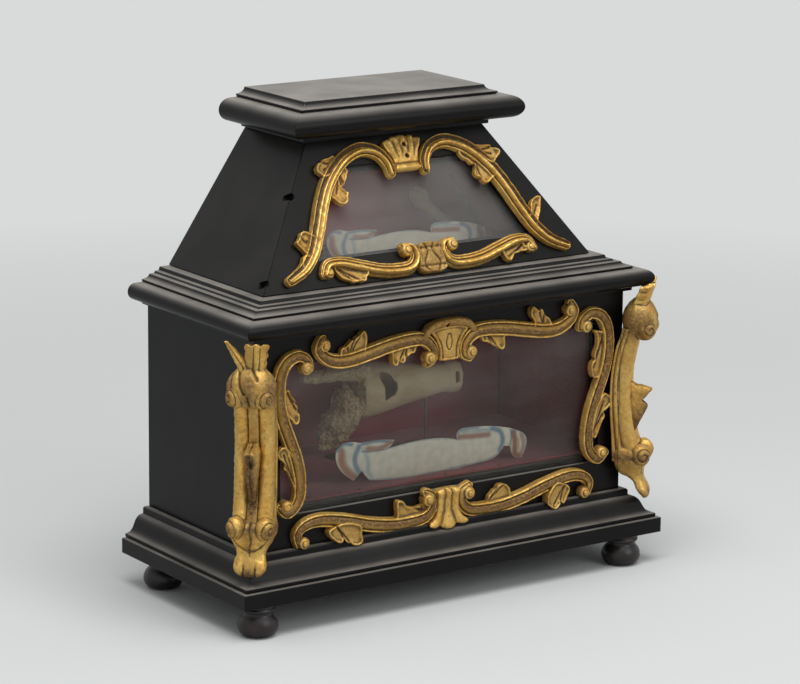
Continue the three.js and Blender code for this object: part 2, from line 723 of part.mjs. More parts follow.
addPiece('upper_frame_shell', join([
  plate(outline([
    [-9.4, 88.8], [9.4, 88.8], [9.8, 97], [15.4, 106.4], [19.6, 113.6], [12.4, 118.4], [0, 120],
    [-12.4, 118.4], [-19.6, 113.6], [-15.4, 106.4], [-9.8, 97],
  ]), 4.6, liftOff),
  shell({ from: 90, to: 118.4, halfWaist: 7.4, halfEdge: 16.4, ribs: 5, height: 7.4, sag: 4 }),
]), gilt(), roofFace);

addPiece('upper_frame_apron', bothSides([
  scrollBand({
    path: [
      [24, 25.6], [16.6, 23.4], [15, 15.4], [21, 8.6], [33, 7], [50, 8.6], [68, 13.6], [86, 18.8],
      [99, 18.4], [104.6, 11],
    ],
    width: 12, height: 9,
  }),
  eye([22.4, 21.6], 5.2, 10.5),
  eye([100.6, 11.6], 4.6, 8),
  leaf({ root: [92, 16], tip: [68, 1.2], heel: [64, 12], lobes: 3 }),
], [
  shell({ from: 26, to: 1.4, halfWaist: 10.6, halfEdge: 14.6, ribs: 3, height: 10, sag: -2 }),
]), gilt(), roofFace);

// Corner brackets: S-shaped consoles carved in the round, seen here with r out along the
// diagonal of the corner, w across it and z up. Each outline is (z, value).
const bracketBack = [
  [50, 25], [56, 19.5], [66, 15], [72, 6], [80, -1.6], [90, -1], [104, -2.6], [137, -6], [165, -6.5],
  [188, -5], [202, -2], [216, 2.6], [228, 7], [236, 15], [242, 21.6], [249, 28],
];
const bracketFace = [
  [50, 28], [56, 30.6], [64, 29.6], [71, 26.8], [80, 29], [94, 28.2], [102, 24], [108, 15.6],
  [124, 12.4], [150, 10.3], [166, 11], [186, 14.8], [194, 16.8], [199, 27], [208, 31.4], [218, 30.4],
  [226, 25], [233, 23.6], [241, 26], [249, 30.4],
];
const bracketWidth = [
  [50, 8], [55, 26], [64, 26], [70, 24], [80, 34], [92, 38.6], [104, 35], [120, 34], [150, 34.4],
  [190, 34.6], [200, 39], [210, 39.6], [218, 34], [225, 25], [232, 25], [239, 27], [249, 9],
];
const bracketSection = [
  [-0.5, 0.12], [-0.5, 0.5], [-0.43, 0.61], [-0.36, 0.82], [-0.27, 1], [-0.14, 0.72], [0.14, 0.72],
  [0.27, 1], [0.36, 0.82], [0.43, 0.61], [0.5, 0.5], [0.5, 0.12], [0.3, 0], [-0.3, 0],
];

// A smooth curve of a value over height, through a list of (z, value).
function overHeight(points) {
  const heights = points.map(([z]) => z);
  const values = points.map(([, value]) => value);
  const curve = new THREE.CubicInterpolant(heights, values, 1);
  return (z) => curve.evaluate(z)[0];
}

// Local axes: x is w, y is z up, z is r out.
function bracketBody() {
  const back = overHeight(bracketBack);
  const face = overHeight(bracketFace);
  const width = overHeight(bracketWidth);
  const body = sweep(bracketSection, 20, (t, u, h) => {
    const z = mix(50.4, 248.8, t);
    return [u * width(z), z, mix(back(z), face(z), h)];
  });
  const roll = (length, radius, z, r) => {
    const profile = [
      [0, -length / 2], [0.55 * radius, -length / 2], [radius, -length / 2 + 2.6],
      [radius, length / 2 - 2.6], [0.55 * radius, length / 2], [0, length / 2],
    ];
    return turned(profile, 12).rotateY(Math.PI / 2).translate(0, z, r);
  };
  const spur = plate(outline([
    [9, 154], [27, 153.4], [21.6, 142], [24.4, 138], [21.4, 124], [16, 108], [8, 106],
  ]), 12, -6).rotateY(-Math.PI / 2); // outline (r, z) becomes (z axis, y axis)
  const tipLeaf = (lean) => {
    const shape = outline([[-4, -12], [6, -12], [7.6, -2], [4, 6], [1.4, 14], [-3, 5]]);
    return plate(shape, 4.2, -2.1).rotateX(0.42).rotateZ(lean).translate(-lean * 26, 228, 19.5);
  };
  return join([body, roll(41, 9.6, 206, 21.6), roll(39.6, 8, 95.4, 20.4), spur, tipLeaf(0.42), tipLeaf(-0.36)]);
}

// What the right bracket has to stay clear of: the case corner, the cornice and the base
// moulding, as boxes measured out from the corner's two faces.
function cornerBlocks() {
  const corner = (out, z0, z1) => block([-120, out], [-out, 120], [z0, z1]);
  return [
    corner(seam, 30, 240),
    corner(9.8 + seam, caseTop, 252), corner(19.1 + seam, 241 - seam, 252),
    corner(6 + seam, 30, 63.1), corner(12.4, 30, 56), corner(20, 30, 50.4),
  ];
}

const toRightCorner = new THREE.Matrix4().makeBasis(
  new THREE.Vector3(Math.SQRT1_2, Math.SQRT1_2, 0), // w
  new THREE.Vector3(0, 0, 1), // up
  new THREE.Vector3(Math.SQRT1_2, -Math.SQRT1_2, 0), // r
);
const bracketRight = cut(bracketBody().applyMatrix4(toRightCorner), cornerBlocks());
addPiece('corner_bracket_right', bracketRight, gilt()).position.set(caseHalfWidth, 0, 0);
addPiece('corner_bracket_left', mirrored(bracketRight), gilt()).position.set(-caseHalfWidth, 0, 0);

// Relics. The lower one is a hollow bone with a torn hole, a forked end and a spongy lump, held
// on a brass stand. The upper one is a smaller bone leaning on the back.
const relicDepth = 110;
const relicSegments = 12;

function boneTube(profile) {
  return turned(profile, relicSegments).rotateY(Math.PI / 2);
}

function relicBone() {
  const shaft = boneTube([
    [0, -16], [21, -15], [24, -8], [22.4, 10], [17.6, 38], [14, 62], [12.4, 78], [13.4, 80], [13.6, 92],
    [8.6, 92.6], [8, 84], [0, 83],
  ]).scale(1, 0.72, 1).translate(-2, 0, 151);
  const lump = new THREE.IcosahedronGeometry(21, 1).scale(1, 0.85, 1.12).translate(-32, 2, 127.4);
  const prong = boneTube([[0, -70], [3.4, -69], [5, -60], [5.6, -30], [8, -6], [0, 0]])
    .scale(1, 1.3, 1).translate(-2, -3, 169.4);
  const hole = outline([[3, 167], [14, 163], [19, 153], [15, 148], [7, 144.6], [4.4, 154]]);
  const holeTool = plate(hole, 60, -30).rotateX(Math.PI / 2);
  return cut(join([shaft, lump, prong]), [holeTool]);
}

addPiece('relic_bone', relicBone(), bone()).position.set(0, relicDepth, 0);

const standFoot = chamberFloor + seam + liningThickness + seam;
const post = (x, top) => new THREE.CylinderGeometry(1.4, 1.4, top - standFoot, 10)
  .rotateX(Math.PI / 2).translate(x, 0, (standFoot + top) / 2);
addPiece('relic_stand', join([
  block([-42, 74], [-7, 7], [standFoot, standFoot + 1.6]),
  post(-32, 104.1),
  post(58, 136.2),
]), brass()).position.set(0, relicDepth, 0);

const upperFloor = corniceRebate + liningThickness + seam;
const upperRelic = join([
  turned([[0, 0], [8, 1], [9, 8], [6, 18], [5.2, 40], [5.6, 58], [8, 66], [0, 68]], 10),
  new THREE.IcosahedronGeometry(8.6, 1).translate(3, 0, 70),
]);
const upperRelicPiece = addPiece('upper_relic', upperRelic, bone());
const upperRelicLean = { back: -0.2, left: -0.85 };
upperRelicPiece.rotation.set(upperRelicLean.back, upperRelicLean.left, 0);
upperRelicPiece.position.set(122, 134, upperFloor);
const relicUnderside = new THREE.Box3().setFromObject(upperRelicPiece, true).min.z;
upperRelicPiece.position.z += upperFloor + seam - relicUnderside;

// Scroll labels: flat cut-out cards in the shape of a curling ribbon, left bare, standing on
// their lower edges.
function ribbonLabel(feet) {
  const shape = new THREE.Shape();
  shape.moveTo(-74, 5);
  shape.quadraticCurveTo(-95, 18, -91, 33);
  shape.quadraticCurveTo(-84, 42, -68, 36);
  shape.quadraticCurveTo(-48, 37, -34, 34);
  shape.quadraticCurveTo(-36, 28, -44, 27);
  shape.quadraticCurveTo(5, 34, 30, 25);
  shape.quadraticCurveTo(26, 36, 44, 34);
  shape.quadraticCurveTo(78, 32, 96, 23);
  shape.quadraticCurveTo(108, 16, 97, 0);
  shape.quadraticCurveTo(86, -1, 85, 12);
  shape.lineTo(78, 13);
  shape.quadraticCurveTo(74, 4, 60, 2);
  feet.forEach(([x0, x1, drop]) => {
    shape.lineTo(x1, 0.6);
    shape.lineTo(x1, drop);
    shape.lineTo(x0, drop);
    shape.lineTo(x0, 0.6);
  });
  shape.quadraticCurveTo(-30, -2, -58, 3);
  shape.lineTo(-66, 12);
  return shape;
}

const labelStand = standFoot + 0.4;
const lowerLabel = addPiece('lower_label', closedIndex(plate(ribbonLabel([[20, 34, 0]]), 0.8)), paper());
lowerLabel.rotation.x = Math.PI / 2;
lowerLabel.position.set(1, 26, labelStand);

const upperLabelScale = 0.86;
const upperLabelRise = 266;
const upperDrop = (upperFloor + seam - upperLabelRise) / upperLabelScale;
const upperLabel = addPiece('upper_label',
  closedIndex(plate(ribbonLabel([[30, 44, upperDrop], [-30, -16, upperDrop]]), 0.8)), paper());
upperLabel.rotation.x = Math.PI / 2;
upperLabel.scale.set(upperLabelScale, upperLabelScale, 1);
upperLabel.position.set(14, 80, upperLabelRise);

// A small turned pull on the lower door.
addPiece('lower_door_knob', turned([
  [0, 0], [4.4, 0], [4.4, 1], [2.6, 2], [2.6, 5], [5.6, 7], [6.4, 10], [5, 13], [0, 14],
], 12), brass());
const knob = casket.getObjectByName('lower_door_knob');
knob.rotation.x = -Math.PI / 2;
knob.position.set(140, caseDepth + seam, 137);

// Move the origin to the middle of the foot print, on the table.
casket.updateMatrixWorld(true);
const extent = new THREE.Box3().setFromObject(casket);
const middle = extent.getCenter(new THREE.Vector3());
casket.position.set(-middle.x, -middle.y, -extent.min.z);

export default casket;
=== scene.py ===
import json
import math
from functools import partial

import bmesh
import bpy
import numpy as np
from mathutils import Matrix, Vector
from mathutils.geometry import delaunay_2d_cdt


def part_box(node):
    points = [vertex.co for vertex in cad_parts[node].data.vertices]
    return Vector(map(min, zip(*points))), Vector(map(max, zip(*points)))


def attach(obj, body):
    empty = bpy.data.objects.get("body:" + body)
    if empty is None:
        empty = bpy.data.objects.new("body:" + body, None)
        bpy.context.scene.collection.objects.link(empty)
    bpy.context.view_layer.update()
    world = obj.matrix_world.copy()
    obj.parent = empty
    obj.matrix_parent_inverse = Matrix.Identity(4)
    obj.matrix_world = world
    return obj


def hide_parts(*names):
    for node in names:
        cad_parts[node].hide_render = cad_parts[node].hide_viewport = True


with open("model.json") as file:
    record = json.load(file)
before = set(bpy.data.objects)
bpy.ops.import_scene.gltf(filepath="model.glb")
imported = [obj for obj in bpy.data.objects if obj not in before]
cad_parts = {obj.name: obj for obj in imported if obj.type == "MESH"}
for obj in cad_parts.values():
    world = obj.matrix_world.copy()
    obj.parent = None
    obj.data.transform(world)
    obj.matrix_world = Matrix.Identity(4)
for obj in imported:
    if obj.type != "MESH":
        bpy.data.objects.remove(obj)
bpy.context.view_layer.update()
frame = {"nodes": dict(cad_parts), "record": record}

mm = 0.001

# Measures below are millimetres with x 0 in the middle, y 0 at the case's front face and z 0 on
# the table. The frame says where that corner lies, and toFrame takes points there.
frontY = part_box("case_front")[0].y
middleX = (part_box("plinth_slab")[0].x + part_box("plinth_slab")[1].x) / 2
backFace = 168.3


def toFrame(points):
    return np.asarray(points, float) * mm + np.array([middleX, frontY, 0.0])


# Camera: a long lens at the photograph's height and angle
cameraPlace = {"at": (-1585.3, -2231.1, 857.1), "azimuth": -34.609, "elevation": 13.232, "roll": 0.587, "lens": 154.7}


def link(name, data):
    thing = bpy.data.objects.new(name, data)
    bpy.context.scene.collection.objects.link(thing)
    return thing


def makeCamera(place=cameraPlace):
    data = bpy.data.cameras.new("photoCamera")
    data.lens, data.sensor_width, data.clip_end = place["lens"], 36, 50
    camera = bpy.context.scene.camera = link("photoCamera", data)
    camera.location = toFrame(place["at"])
    turns = ((place["azimuth"], "Z"), (90 - place["elevation"], "X"), (place["roll"], "Z"))
    azimuth, tilt, roll = (Matrix.Rotation(math.radians(angle), 4, axis) for angle, axis in turns)
    camera.rotation_euler = (azimuth @ tilt @ roll).to_euler()


makeCamera()
print("camera placed")


# Colours are sRGB hex values, made linear here
def hexColour(text):
    channels = [int(text[i:i + 2], 16) / 255 for i in (1, 3, 5)]
    return [c / 12.92 if c <= 0.04045 else ((c + 0.055) / 1.055) ** 2.4 for c in channels] + [1.0]


def perMm(size):
    return 1 / (size * mm)


def liveSocket(sockets, name=None):
    return next(s for s in sockets if s.enabled and name in (None, s.name))


# Sockets go by name or number. Each takes a value, a hex colour, a socket or a node's first output.
def fill(node, sockets):
    for name, value in sockets.items():
        socket = node.inputs[name] if isinstance(name, int) else liveSocket(node.inputs, name)
        if isinstance(value, bpy.types.Node):
            value = liveSocket(value.outputs)
        if isinstance(value, bpy.types.NodeSocket):
            node.id_data.links.new(value, socket)
        else:
            socket.default_value = hexColour(value) if str(value).startswith("#") else value


# Adds a node. An operation or data type may follow the kind, inputs come in their order or by name,
# names in small letters are the node's own settings, and stops are a colour ramp's.
def addNode(tree, kind, *inputs, stops=(), **named):
    kind, *mode = kind.split()
    node = tree.nodes.new(kind if kind.startswith(("Geometry", "Function", "NodeGroup")) else "ShaderNode" + kind)
    if mode:
        setattr(node, "data_type" if kind == "Mix" else "operation", mode[0])
    for key in filter(str.islower, named):
        setattr(node, key, named[key])
    if stops:
        elements = node.color_ramp.elements
        while len(elements) < len(stops):
            elements.new(0.5)
        for element, (place, shade) in zip(elements, stops):
            element.position = place
            element.color = hexColour(shade) if isinstance(shade, str) else (shade, shade, shade, 1)
    sockets = {key.replace("_", " "): value for key, value in named.items() if not key.islower()}
    fill(node, {**dict(enumerate(inputs)), **sockets})
    return node


finishes = {}


# A new finish gives its shader, its adder of nodes and the place on the piece for its patterns
def newFinish(finish, name):
    material = finishes[finish] = bpy.data.materials.new(name)
    material.use_nodes = True
    add = partial(addNode, material.node_tree)
    return material.node_tree.nodes["Principled BSDF"], add, add("TexCoord").outputs["Object"]


# Pear wood stained black and waxed: a near-black satin film with hairline scratches, a bloom in
# patches, grey dust with a painted sheen of top light on what faces up, and bare brown wood where
# an arris has rubbed. The grain runs along one axis.
ebony = {
    "stain": "#090808", "bloom": "#1b1918", "dust": "#a8a29a", "dustAndTopSheen": 0.47, "bare": "#7a5836",
    "roughness": 0.32, "scratchMm": 1.2, "grainMm": 2.5, "mottleMm": 45, "rubMm": 7,
}


def ebonisedPear(finish, name, grain, look=ebony):
    shader, add, place = newFinish(finish, name)
    mottle = add("TexNoise", place, Scale=perMm(look["mottleMm"]), Detail=5)
    along = add("Mapping", place, Scale=grain)
    streak = add("TexNoise", along, Scale=perMm(look["grainMm"]), Detail=6, Roughness=0.6)
    patch = add("ValToRGB", mottle, stops=[(0.42, 0), (0.72, 0.55)])
    fibre = add("ValToRGB", streak, stops=[(0.35, 0.2), (0.7, 1)])
    body = add("Mix RGBA", add("Math MULTIPLY", patch, fibre), A=look["stain"], B=look["bloom"])
    # What faces up takes the dust colour: settled dust, and a painted sheen standing in for the light from above.
    facing = add("SeparateXYZ", add("TexCoord").outputs["Normal"])
    upward = add("Math POWER", facing.outputs["Z"], 5, use_clamp=True)
    lying = add("ValToRGB", mottle, stops=[(0.3, 0.55 * look["dustAndTopSheen"]), (0.75, look["dustAndTopSheen"])])
    dustAndTopSheen = add("Math MULTIPLY", upward, lying)
    body = add("Mix RGBA", dustAndTopSheen, A=body, B=look["dust"])
    arris = add("Attribute", attribute_name="arris").outputs["Fac"]
    rubbing = add("TexNoise", place, Scale=perMm(look["rubMm"]), Detail=7, Roughness=0.72)
    worn = add("Math MULTIPLY", add("Math MULTIPLY_ADD", arris, 0.9, rubbing), 0.8)
    rubbed = add("ValToRGB", worn, stops=[(0.98, 0), (1, 0.85)])
    film = add("Math MULTIPLY_ADD", streak, 0.2, look["roughness"] - 0.08)
    hairline = add("Mapping", place, Scale=(0.05, 1, 1))
    scratch = add("TexNoise", hairline, Scale=perMm(look["scratchMm"]), Detail=3)
    fill(shader, {
        "Base Color": add("Mix RGBA", rubbed, A=body, B=look["bare"]),
        "Roughness": add("Math MULTIPLY_ADD", dustAndTopSheen, 0.3, film), "Specular IOR Level": 0.14,
        "Normal": add("Bump", 0.35, 0.06 * mm, Height=add("Math ADD", scratch, streak))})


# Bun feet: the same stain on turned beech, duller, rubbed brown on the belly, lathe rings showing.
def stainedBeech():
    shader, add, place = newFinish("foot", "stainedTurnedBeech")
    cloud = add("TexNoise", place, Scale=perMm(14), Detail=5)
    rings = add("TexNoise", add("Mapping", place, Scale=(0.12, 0.12, 1)), Scale=perMm(1.4), Detail=3)
    fill(shader, {
        "Base Color": add("ValToRGB", cloud, stops=[(0.35, "#0f0c0c"), (0.6, "#1f1715"), (0.8, "#36241b")]),
        "Roughness": add("ValToRGB", cloud, stops=[(0.3, 0.3), (0.8, 0.5)]), "Specular IOR Level": 0.4,
        "Normal": add("Bump", 0.5, 0.08 * mm, Height=rings)})


# Water gilding over gesso and bole on carved limewood: burnished leaf on the high places, bronze
# brown where it was toned or rubbed to the bole, dark size and soot with painted shade in the
# hollows, pinholes and flakes in the gesso. The attributes for ridges, hollows (grime and painted
# shade) and toning come from the carving itself.
gilding = {
    "leaf": "#d6a44c", "burnished": "#f2cb74", "toning": "#492d14", "sootAndShade": "#23170c",
    "bole": "#8a5630", "chalk": "#d8caa8", "cloudMm": 16, "speckMm": 2.4, "pitMm": 1.4,
    "patchMm": 11, "flakeMm": 5,
}


def waterGilding(look=gilding):
    shader, add, place = newFinish("gilt", "wornWaterGilding")
    ridge, hollowGrimeAndShade, toned = (add("Attribute", attribute_name=name).outputs["Fac"]
                            for name in ("ridge", "hollowGrimeAndShade", "toned"))
    cloud = add("TexNoise", place, Scale=perMm(look["cloudMm"]), Detail=6, Roughness=0.6)
    speck = add("TexNoise", place, Scale=perMm(look["speckMm"]), Detail=6, Roughness=0.7)
    pit = add("TexNoise", place, Scale=perMm(look["pitMm"]), Detail=3)
    flake = add("TexNoise", place, Scale=perMm(look["flakeMm"]), Detail=8, Roughness=0.75)
    patch = add("TexNoise", place, Scale=perMm(look["patchMm"]), Detail=9, Roughness=0.72)
    wash = add("ValToRGB", cloud, stops=[(0.3, 0), (0.7, 1)])
    patchy = add("ValToRGB", patch, stops=[(0.44, 0), (0.68, 0.6)])
    mottled = add("ValToRGB", speck, stops=[(0.36, 0.7), (0.56, 1)])
    tonedHere = add("Math MULTIPLY", add("Math MAXIMUM", toned, patchy), mottled)
    crest = add("ValToRGB", ridge, stops=[(0.35, 0), (0.8, 1)])
    rubbed = add("Math MULTIPLY", crest, add("ValToRGB", speck, stops=[(0.56, 0), (0.64, 0.8)]))
    flaked = add("Math MULTIPLY", crest, add("ValToRGB", flake, stops=[(0.69, 0), (0.71, 1)]))
    # Hollows go towards the soot colour: grime, and painted shade in the folds of the carving.
    deep = add("ValToRGB", hollowGrimeAndShade, stops=[(0.25, 0), (0.8, 0.95)])
    grimeAndShade = add("Math MULTIPLY", deep, add("ValToRGB", cloud, stops=[(0.25, 0.5), (0.65, 0.9)]))
    pinhole = add("ValToRGB", pit, stops=[(0.27, 0.9), (0.32, 0)])
    gold = add("Mix RGBA", wash, A=look["leaf"], B=look["burnished"])
    layers = ((tonedHere, "toning"), (rubbed, "bole"), (flaked, "chalk"), (grimeAndShade, "sootAndShade"), (pinhole, "sootAndShade"))
    for share, shade in layers:
        gold = add("Mix RGBA", share, A=gold, B=look[shade])
    matt = add("Math MAXIMUM", grimeAndShade, pinhole)
    for share in (flaked, add("Math MULTIPLY", tonedHere, 0.85)):
        matt = add("Math MAXIMUM", matt, share)
    rough = add("Math MULTIPLY_ADD", pinhole, -1.2, speck)
    fill(shader, {
        "Base Color": gold, "Metallic": add("ValToRGB", matt, stops=[(0, 0.85), (1, 0.15)]),
        "Roughness": add("ValToRGB", matt, stops=[(0, 0.4), (1, 0.75)]),
        "Normal": add("Bump", 0.75, 0.25 * mm, Height=rough)})


# Old drawn glass: clear, faintly grey, slightly wavy, with a thin veil of dust that lies thicker on
# the leaning upper pane, told by its height in metres.
def drawnGlass():
    shader, add, place = newFinish("glass", "oldDrawnGlass")
    wave = add("TexNoise", place, Scale=perMm(80), Detail=1)
    wiped = add("Mapping", place, Scale=(0.3, 1, 1))
    veil = add("TexNoise", wiped, Scale=perMm(40), Detail=7, Roughness=0.62)
    leaning = add("MapRange", add("SeparateXYZ", place).outputs["Z"], 0.24, 0.3, 0, 0.06)
    dust = add("Math ADD", add("ValToRGB", veil, stops=[(0.4, 0.01), (0.8, 0.08)]), leaning)
    solid = add("Math ADD", add("Fresnel", IOR=1.32), dust)
    relief = add("Bump", 0.12, 0.4 * mm, Height=wave)
    fill(shader, {"Base Color": "#bfbdba", "Roughness": 0.05, "Normal": relief})
    shown = add("MixShader", solid, add("BsdfTransparent", "#f2f3f2"), shader)
    fill(shader.id_data.nodes["Material Output"], {"Surface": shown})


# Plain-woven wool dyed dark red, glued over board: matt, faint weave, faded in streaks. Its
# threads are drawn 1.4 mm apart, about twice the real gap, so that they still show.
def dyedWool(threadMm=1.4):
    shader, add, place = newFinish("cloth", "dyedWovenWool")
    fade = add("TexNoise", add("Mapping", place, Scale=(1, 1, 0.25)), Scale=perMm(50), Detail=5)
    threads = [add("TexWave", place, bands_direction=way, Scale=perMm(threadMm) / 6.283, Distortion=2, Detail=2)
               for way in "ZX"]
    weave = add("Math MULTIPLY", *(thread.outputs["Fac"] for thread in threads))
    dye = add("ValToRGB", fade, stops=[(0.3, "#9c3a44"), (0.7, "#bd535d")])
    fill(shader, {
        "Base Color": add("Mix RGBA", add("Math MULTIPLY", weave, 0.14), A=dye, B="#541c25"),
        "Roughness": 0.92, "Sheen Weight": 0.3, "Normal": add("Bump", 0.3, 0.12 * mm, Height=weave)})


# Dry old bone: cream, brown in the pores, smooth and waxy on the shaft, spongy where it broke.
def dryBone():
    shader, add, place = newFinish("bone", "dryAgedBone")
    drawn = add("Mapping", place, Scale=(0.35, 1, 1))
    stain = add("TexNoise", drawn, Scale=perMm(20), Detail=6, Roughness=0.62)
    fibre = add("TexNoise", drawn, Scale=perMm(1.6), Detail=4)
    pores = add("ValToRGB", add("TexNoise", place, Scale=perMm(2.1), Detail=2), stops=[(0.42, 1), (0.56, 0)])
    cream = add("ValToRGB", stain, stops=[(0.3, "#c9ad7f"), (0.55, "#ead5aa"), (0.75, "#f5e6c4")])
    holes = add("Math MULTIPLY", add("Attribute", attribute_name="spongy").outputs["Fac"], pores)
    height = add("Math MULTIPLY_ADD", holes, -2.5, fibre)
    fill(shader, {
        "Base Color": add("Mix RGBA", add("Math MULTIPLY", holes, 0.45), A=cream, B="#6c5840"),
        "Roughness": 0.6, "Subsurface Weight": 0.08, "Subsurface Scale": 0.002,
        "Normal": add("Bump", 0.8, 0.3 * mm, Height=height)})


# Watercolour on laid paper glued to card: warm white, foxed, blue and brick washes in the folds.
def watercolourPaper():
    shader, add, place = newFinish("paper", "watercolouredPaper")
    foxing = add("TexNoise", place, Scale=perMm(7), Detail=5)
    tooth = add("TexNoise", place, Scale=perMm(0.8), Detail=3)
    sheet = add("ValToRGB", foxing, stops=[(0.35, "#e8e4d6"), (0.65, "#f8f6ee")])
    wash = add("Attribute", attribute_name="wash").outputs["Color"]
    fill(shader, {
        "Base Color": add("Mix RGBA", 1, blend_type="MULTIPLY", A=sheet, B=wash),
        "Roughness": 0.85, "Normal": add("Bump", 0.4, 0.05 * mm, Height=tooth)})


# Rolled sheet brass left to dull: a brown film, brighter in clouds where it is handled.
def dulledBrass():
    shader, add, place = newFinish("brass", "dulledSheetBrass")
    cloud = add("TexNoise", place, Scale=perMm(9), Detail=6)
    brushed = add("TexNoise", add("Mapping", place, Scale=(0.1, 1, 1)), Scale=perMm(0.9), Detail=3)
    fill(shader, {
        "Base Color": add("ValToRGB", cloud, stops=[(0.3, "#6d5428"), (0.7, "#a98b4f")]), "Metallic": 1,
        "Roughness": add("ValToRGB", cloud, stops=[(0.3, 0.5), (0.75, 0.3)]),
        "Normal": add("Bump", 0.4, 0.03 * mm, Height=brushed)})


# Forged iron nails, blacked, with a rubbed head.
def blackedIron():
    shader, add, place = newFinish("iron", "blackedForgedIron")
    scale = add("TexNoise", place, Scale=perMm(1.5), Detail=5)
    fill(shader, {
        "Base Color": add("ValToRGB", scale, stops=[(0.4, "#1c1a19"), (0.75, "#5a524a")]), "Metallic": 0.8,
        "Roughness": 0.45, "Normal": add("Bump", 0.5, 0.05 * mm, Height=scale)})


# Sawn poplar inside, never stained: pale brown and dry.
def sawnPoplar():
    shader, add, place = newFinish("poplar", "agedSawnPoplar")
    grain = add("TexNoise", add("Mapping", place, Scale=(0.05, 1, 1)), Scale=perMm(3), Detail=6)
    fill(shader, {
        "Base Color": add("ValToRGB", grain, stops=[(0.3, "#4d3725"), (0.7, "#7b5d40")]),
        "Roughness": 0.85, "Normal": add("Bump", 0.5, 0.2 * mm, Height=grain)})


ebonisedPear("ebony", "waxedEbonisedPear", (0.06, 1, 1))
ebonisedPear("ebonyDeep", "waxedEbonisedPearDeep", (1, 0.06, 1))
ebonisedPear("ebonyUpright", "waxedEbonisedPearUpright", (1, 1, 0.06))
for mix in (stainedBeech, waterGilding, drawnGlass, dyedWool, dryBone, watercolourPaper, dulledBrass, blackedIron,
            sawnPoplar):
    mix()
print("finishes mixed")


# Mesh helpers. Points come in the measuring frame, in millimetres.
def linkMesh(name, mesh, finish, sharp):
    mesh.materials.append(finishes[finish])
    mesh.shade_smooth()
    if sharp:
        mesh.set_sharp_from_angle(angle=math.radians(sharp))
    return link(name, mesh)


def newPiece(name, points, faces, finish, sharp=35, attributes=None):
    mesh = bpy.data.meshes.new(name)
    faces = faces.tolist() if isinstance(faces, np.ndarray) else [list(map(int, face)) for face in faces]
    mesh.from_pydata(toFrame(points).tolist(), [], faces)
    mesh.validate()
    for attribute, values in (attributes or {}).items():
        kind, field = ("FLOAT", "value") if np.ndim(values) == 1 else ("FLOAT_COLOR", "color")
        mesh.attributes.new(attribute, kind, "POINT").data.foreach_set(field, np.ravel(values))
    return linkMesh(name, mesh, finish, sharp)


def settle(piece, body, slot, *nodes):
    if nodes:
        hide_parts(*nodes)
    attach(piece, body)


def meshOf(work, name):
    mesh = bpy.data.meshes.new(name)
    work.to_mesh(mesh)
    work.free()
    return mesh


def outward(piece):
    work = bmesh.new()
    work.from_mesh(piece.data)
    bmesh.ops.recalc_face_normals(work, faces=work.faces)
    work.to_mesh(piece.data)
    work.free()
    return piece


# Finishes a piece's modifiers into its mesh
def bake(piece):
    graph = bpy.context.evaluated_depsgraph_get()
    mesh = bpy.data.meshes.new_from_object(piece.evaluated_get(graph))
    piece.modifiers.clear()
    piece.data = mesh
    return piece


# Broad faces keep their own flat shading beside eased edges
def flatShaded(piece):
    piece.modifiers.new("flatShaded", "WEIGHTED_NORMAL").keep_sharp = True
    return bake(piece)


# The frame's own solid with its outer edges eased
def easedSolid(node, easeMm, segments):
    work = bmesh.new()
    work.from_mesh(frame["nodes"][node].data)
    bmesh.ops.remove_doubles(work, verts=work.verts, dist=1e-6)
    bmesh.ops.dissolve_limit(work, angle_limit=math.radians(1.5), verts=work.verts, edges=work.edges)
    sharp = [e for e in work.edges if len(e.link_faces) == 2 and e.calc_face_angle() > math.radians(30)]
    bmesh.ops.bevel(work, geom=sharp, offset=easeMm * mm, segments=segments, profile=0.5, affect="EDGES")
    bmesh.ops.recalc_face_normals(work, faces=work.faces)
    return work


# A board, its arrises marked for the rubbing where they join no broad face
def easedBoard(node, finish, easeMm=0.7, wear=0.25, broad=60 * mm * mm):
    work = easedSolid(node, easeMm, 3)
    layer = work.verts.layers.float.new("arris")
    for vert in work.verts:
        vert[layer] = 0.0 if any(face.calc_area() > broad for face in vert.link_faces) else wear
    return flatShaded(linkMesh(node + "_board", meshOf(work, node + "_board"), finish, 28))


# Quads between closed rings of equal length in turn, and from the last to the first if wrapped
def loft(rings, count, wrapped=False):
    pairs = [(r * count, (r + 1) % rings * count) for r in range(rings if wrapped else rings - 1)]
    return [(a + i, a + (i + 1) % count, b + (i + 1) % count, b + i) for a, b in pairs for i in range(count)]


def capped(rings, count):
    return loft(rings, count) + [tuple(range(count))[::-1], tuple(range((rings - 1) * count, rings * count))]


# Closed loops of equal length, joined in turn and the last to the first: a pierced board.
def pierced(name, loops, finish):
    count = len(loops[0])
    points = np.concatenate(loops)
    piece = newPiece(name, points, loft(len(loops), count, True), finish, 28, {"arris": np.zeros(len(points))})
    return outward(piece)


def turnedSolid(name, profile, segments, finish, place=lambda p: p):
    angles = [2 * math.pi * i / segments for i in range(segments)]
    points = [(r * math.cos(a), r * math.sin(a), height) for r, height in profile[1:-1] for a in angles]
    rings = len(profile) - 2
    points += [(0, 0, profile[0][1]), (0, 0, profile[-1][1])]
    faces, last = loft(rings, segments), (rings - 1) * segments
    for i in range(segments):
        j = (i + 1) % segments
        faces += [(rings * segments, j, i), (rings * segments + 1, last + i, last + j)]
    return outward(newPiece(name, place(np.array(points, float)), faces, finish, 40))


# Profiles: corners are lists of points, arcs and curves are added by count
def arc(centre, radii, start, end, count=12):
    angles = np.radians(np.linspace(start, end, count))
    return [(centre[0] + radii[0] * math.cos(a), centre[1] + radii[1] * math.sin(a)) for a in angles]


def bezier(points, count=14):
    t, degree = np.linspace(0, 1, count)[:, None], len(points) - 1
    curve = sum(math.comb(degree, i) * t ** i * (1 - t) ** (degree - i) * np.array(p, float)
                for i, p in enumerate(points))
    return [tuple(point) for point in curve]


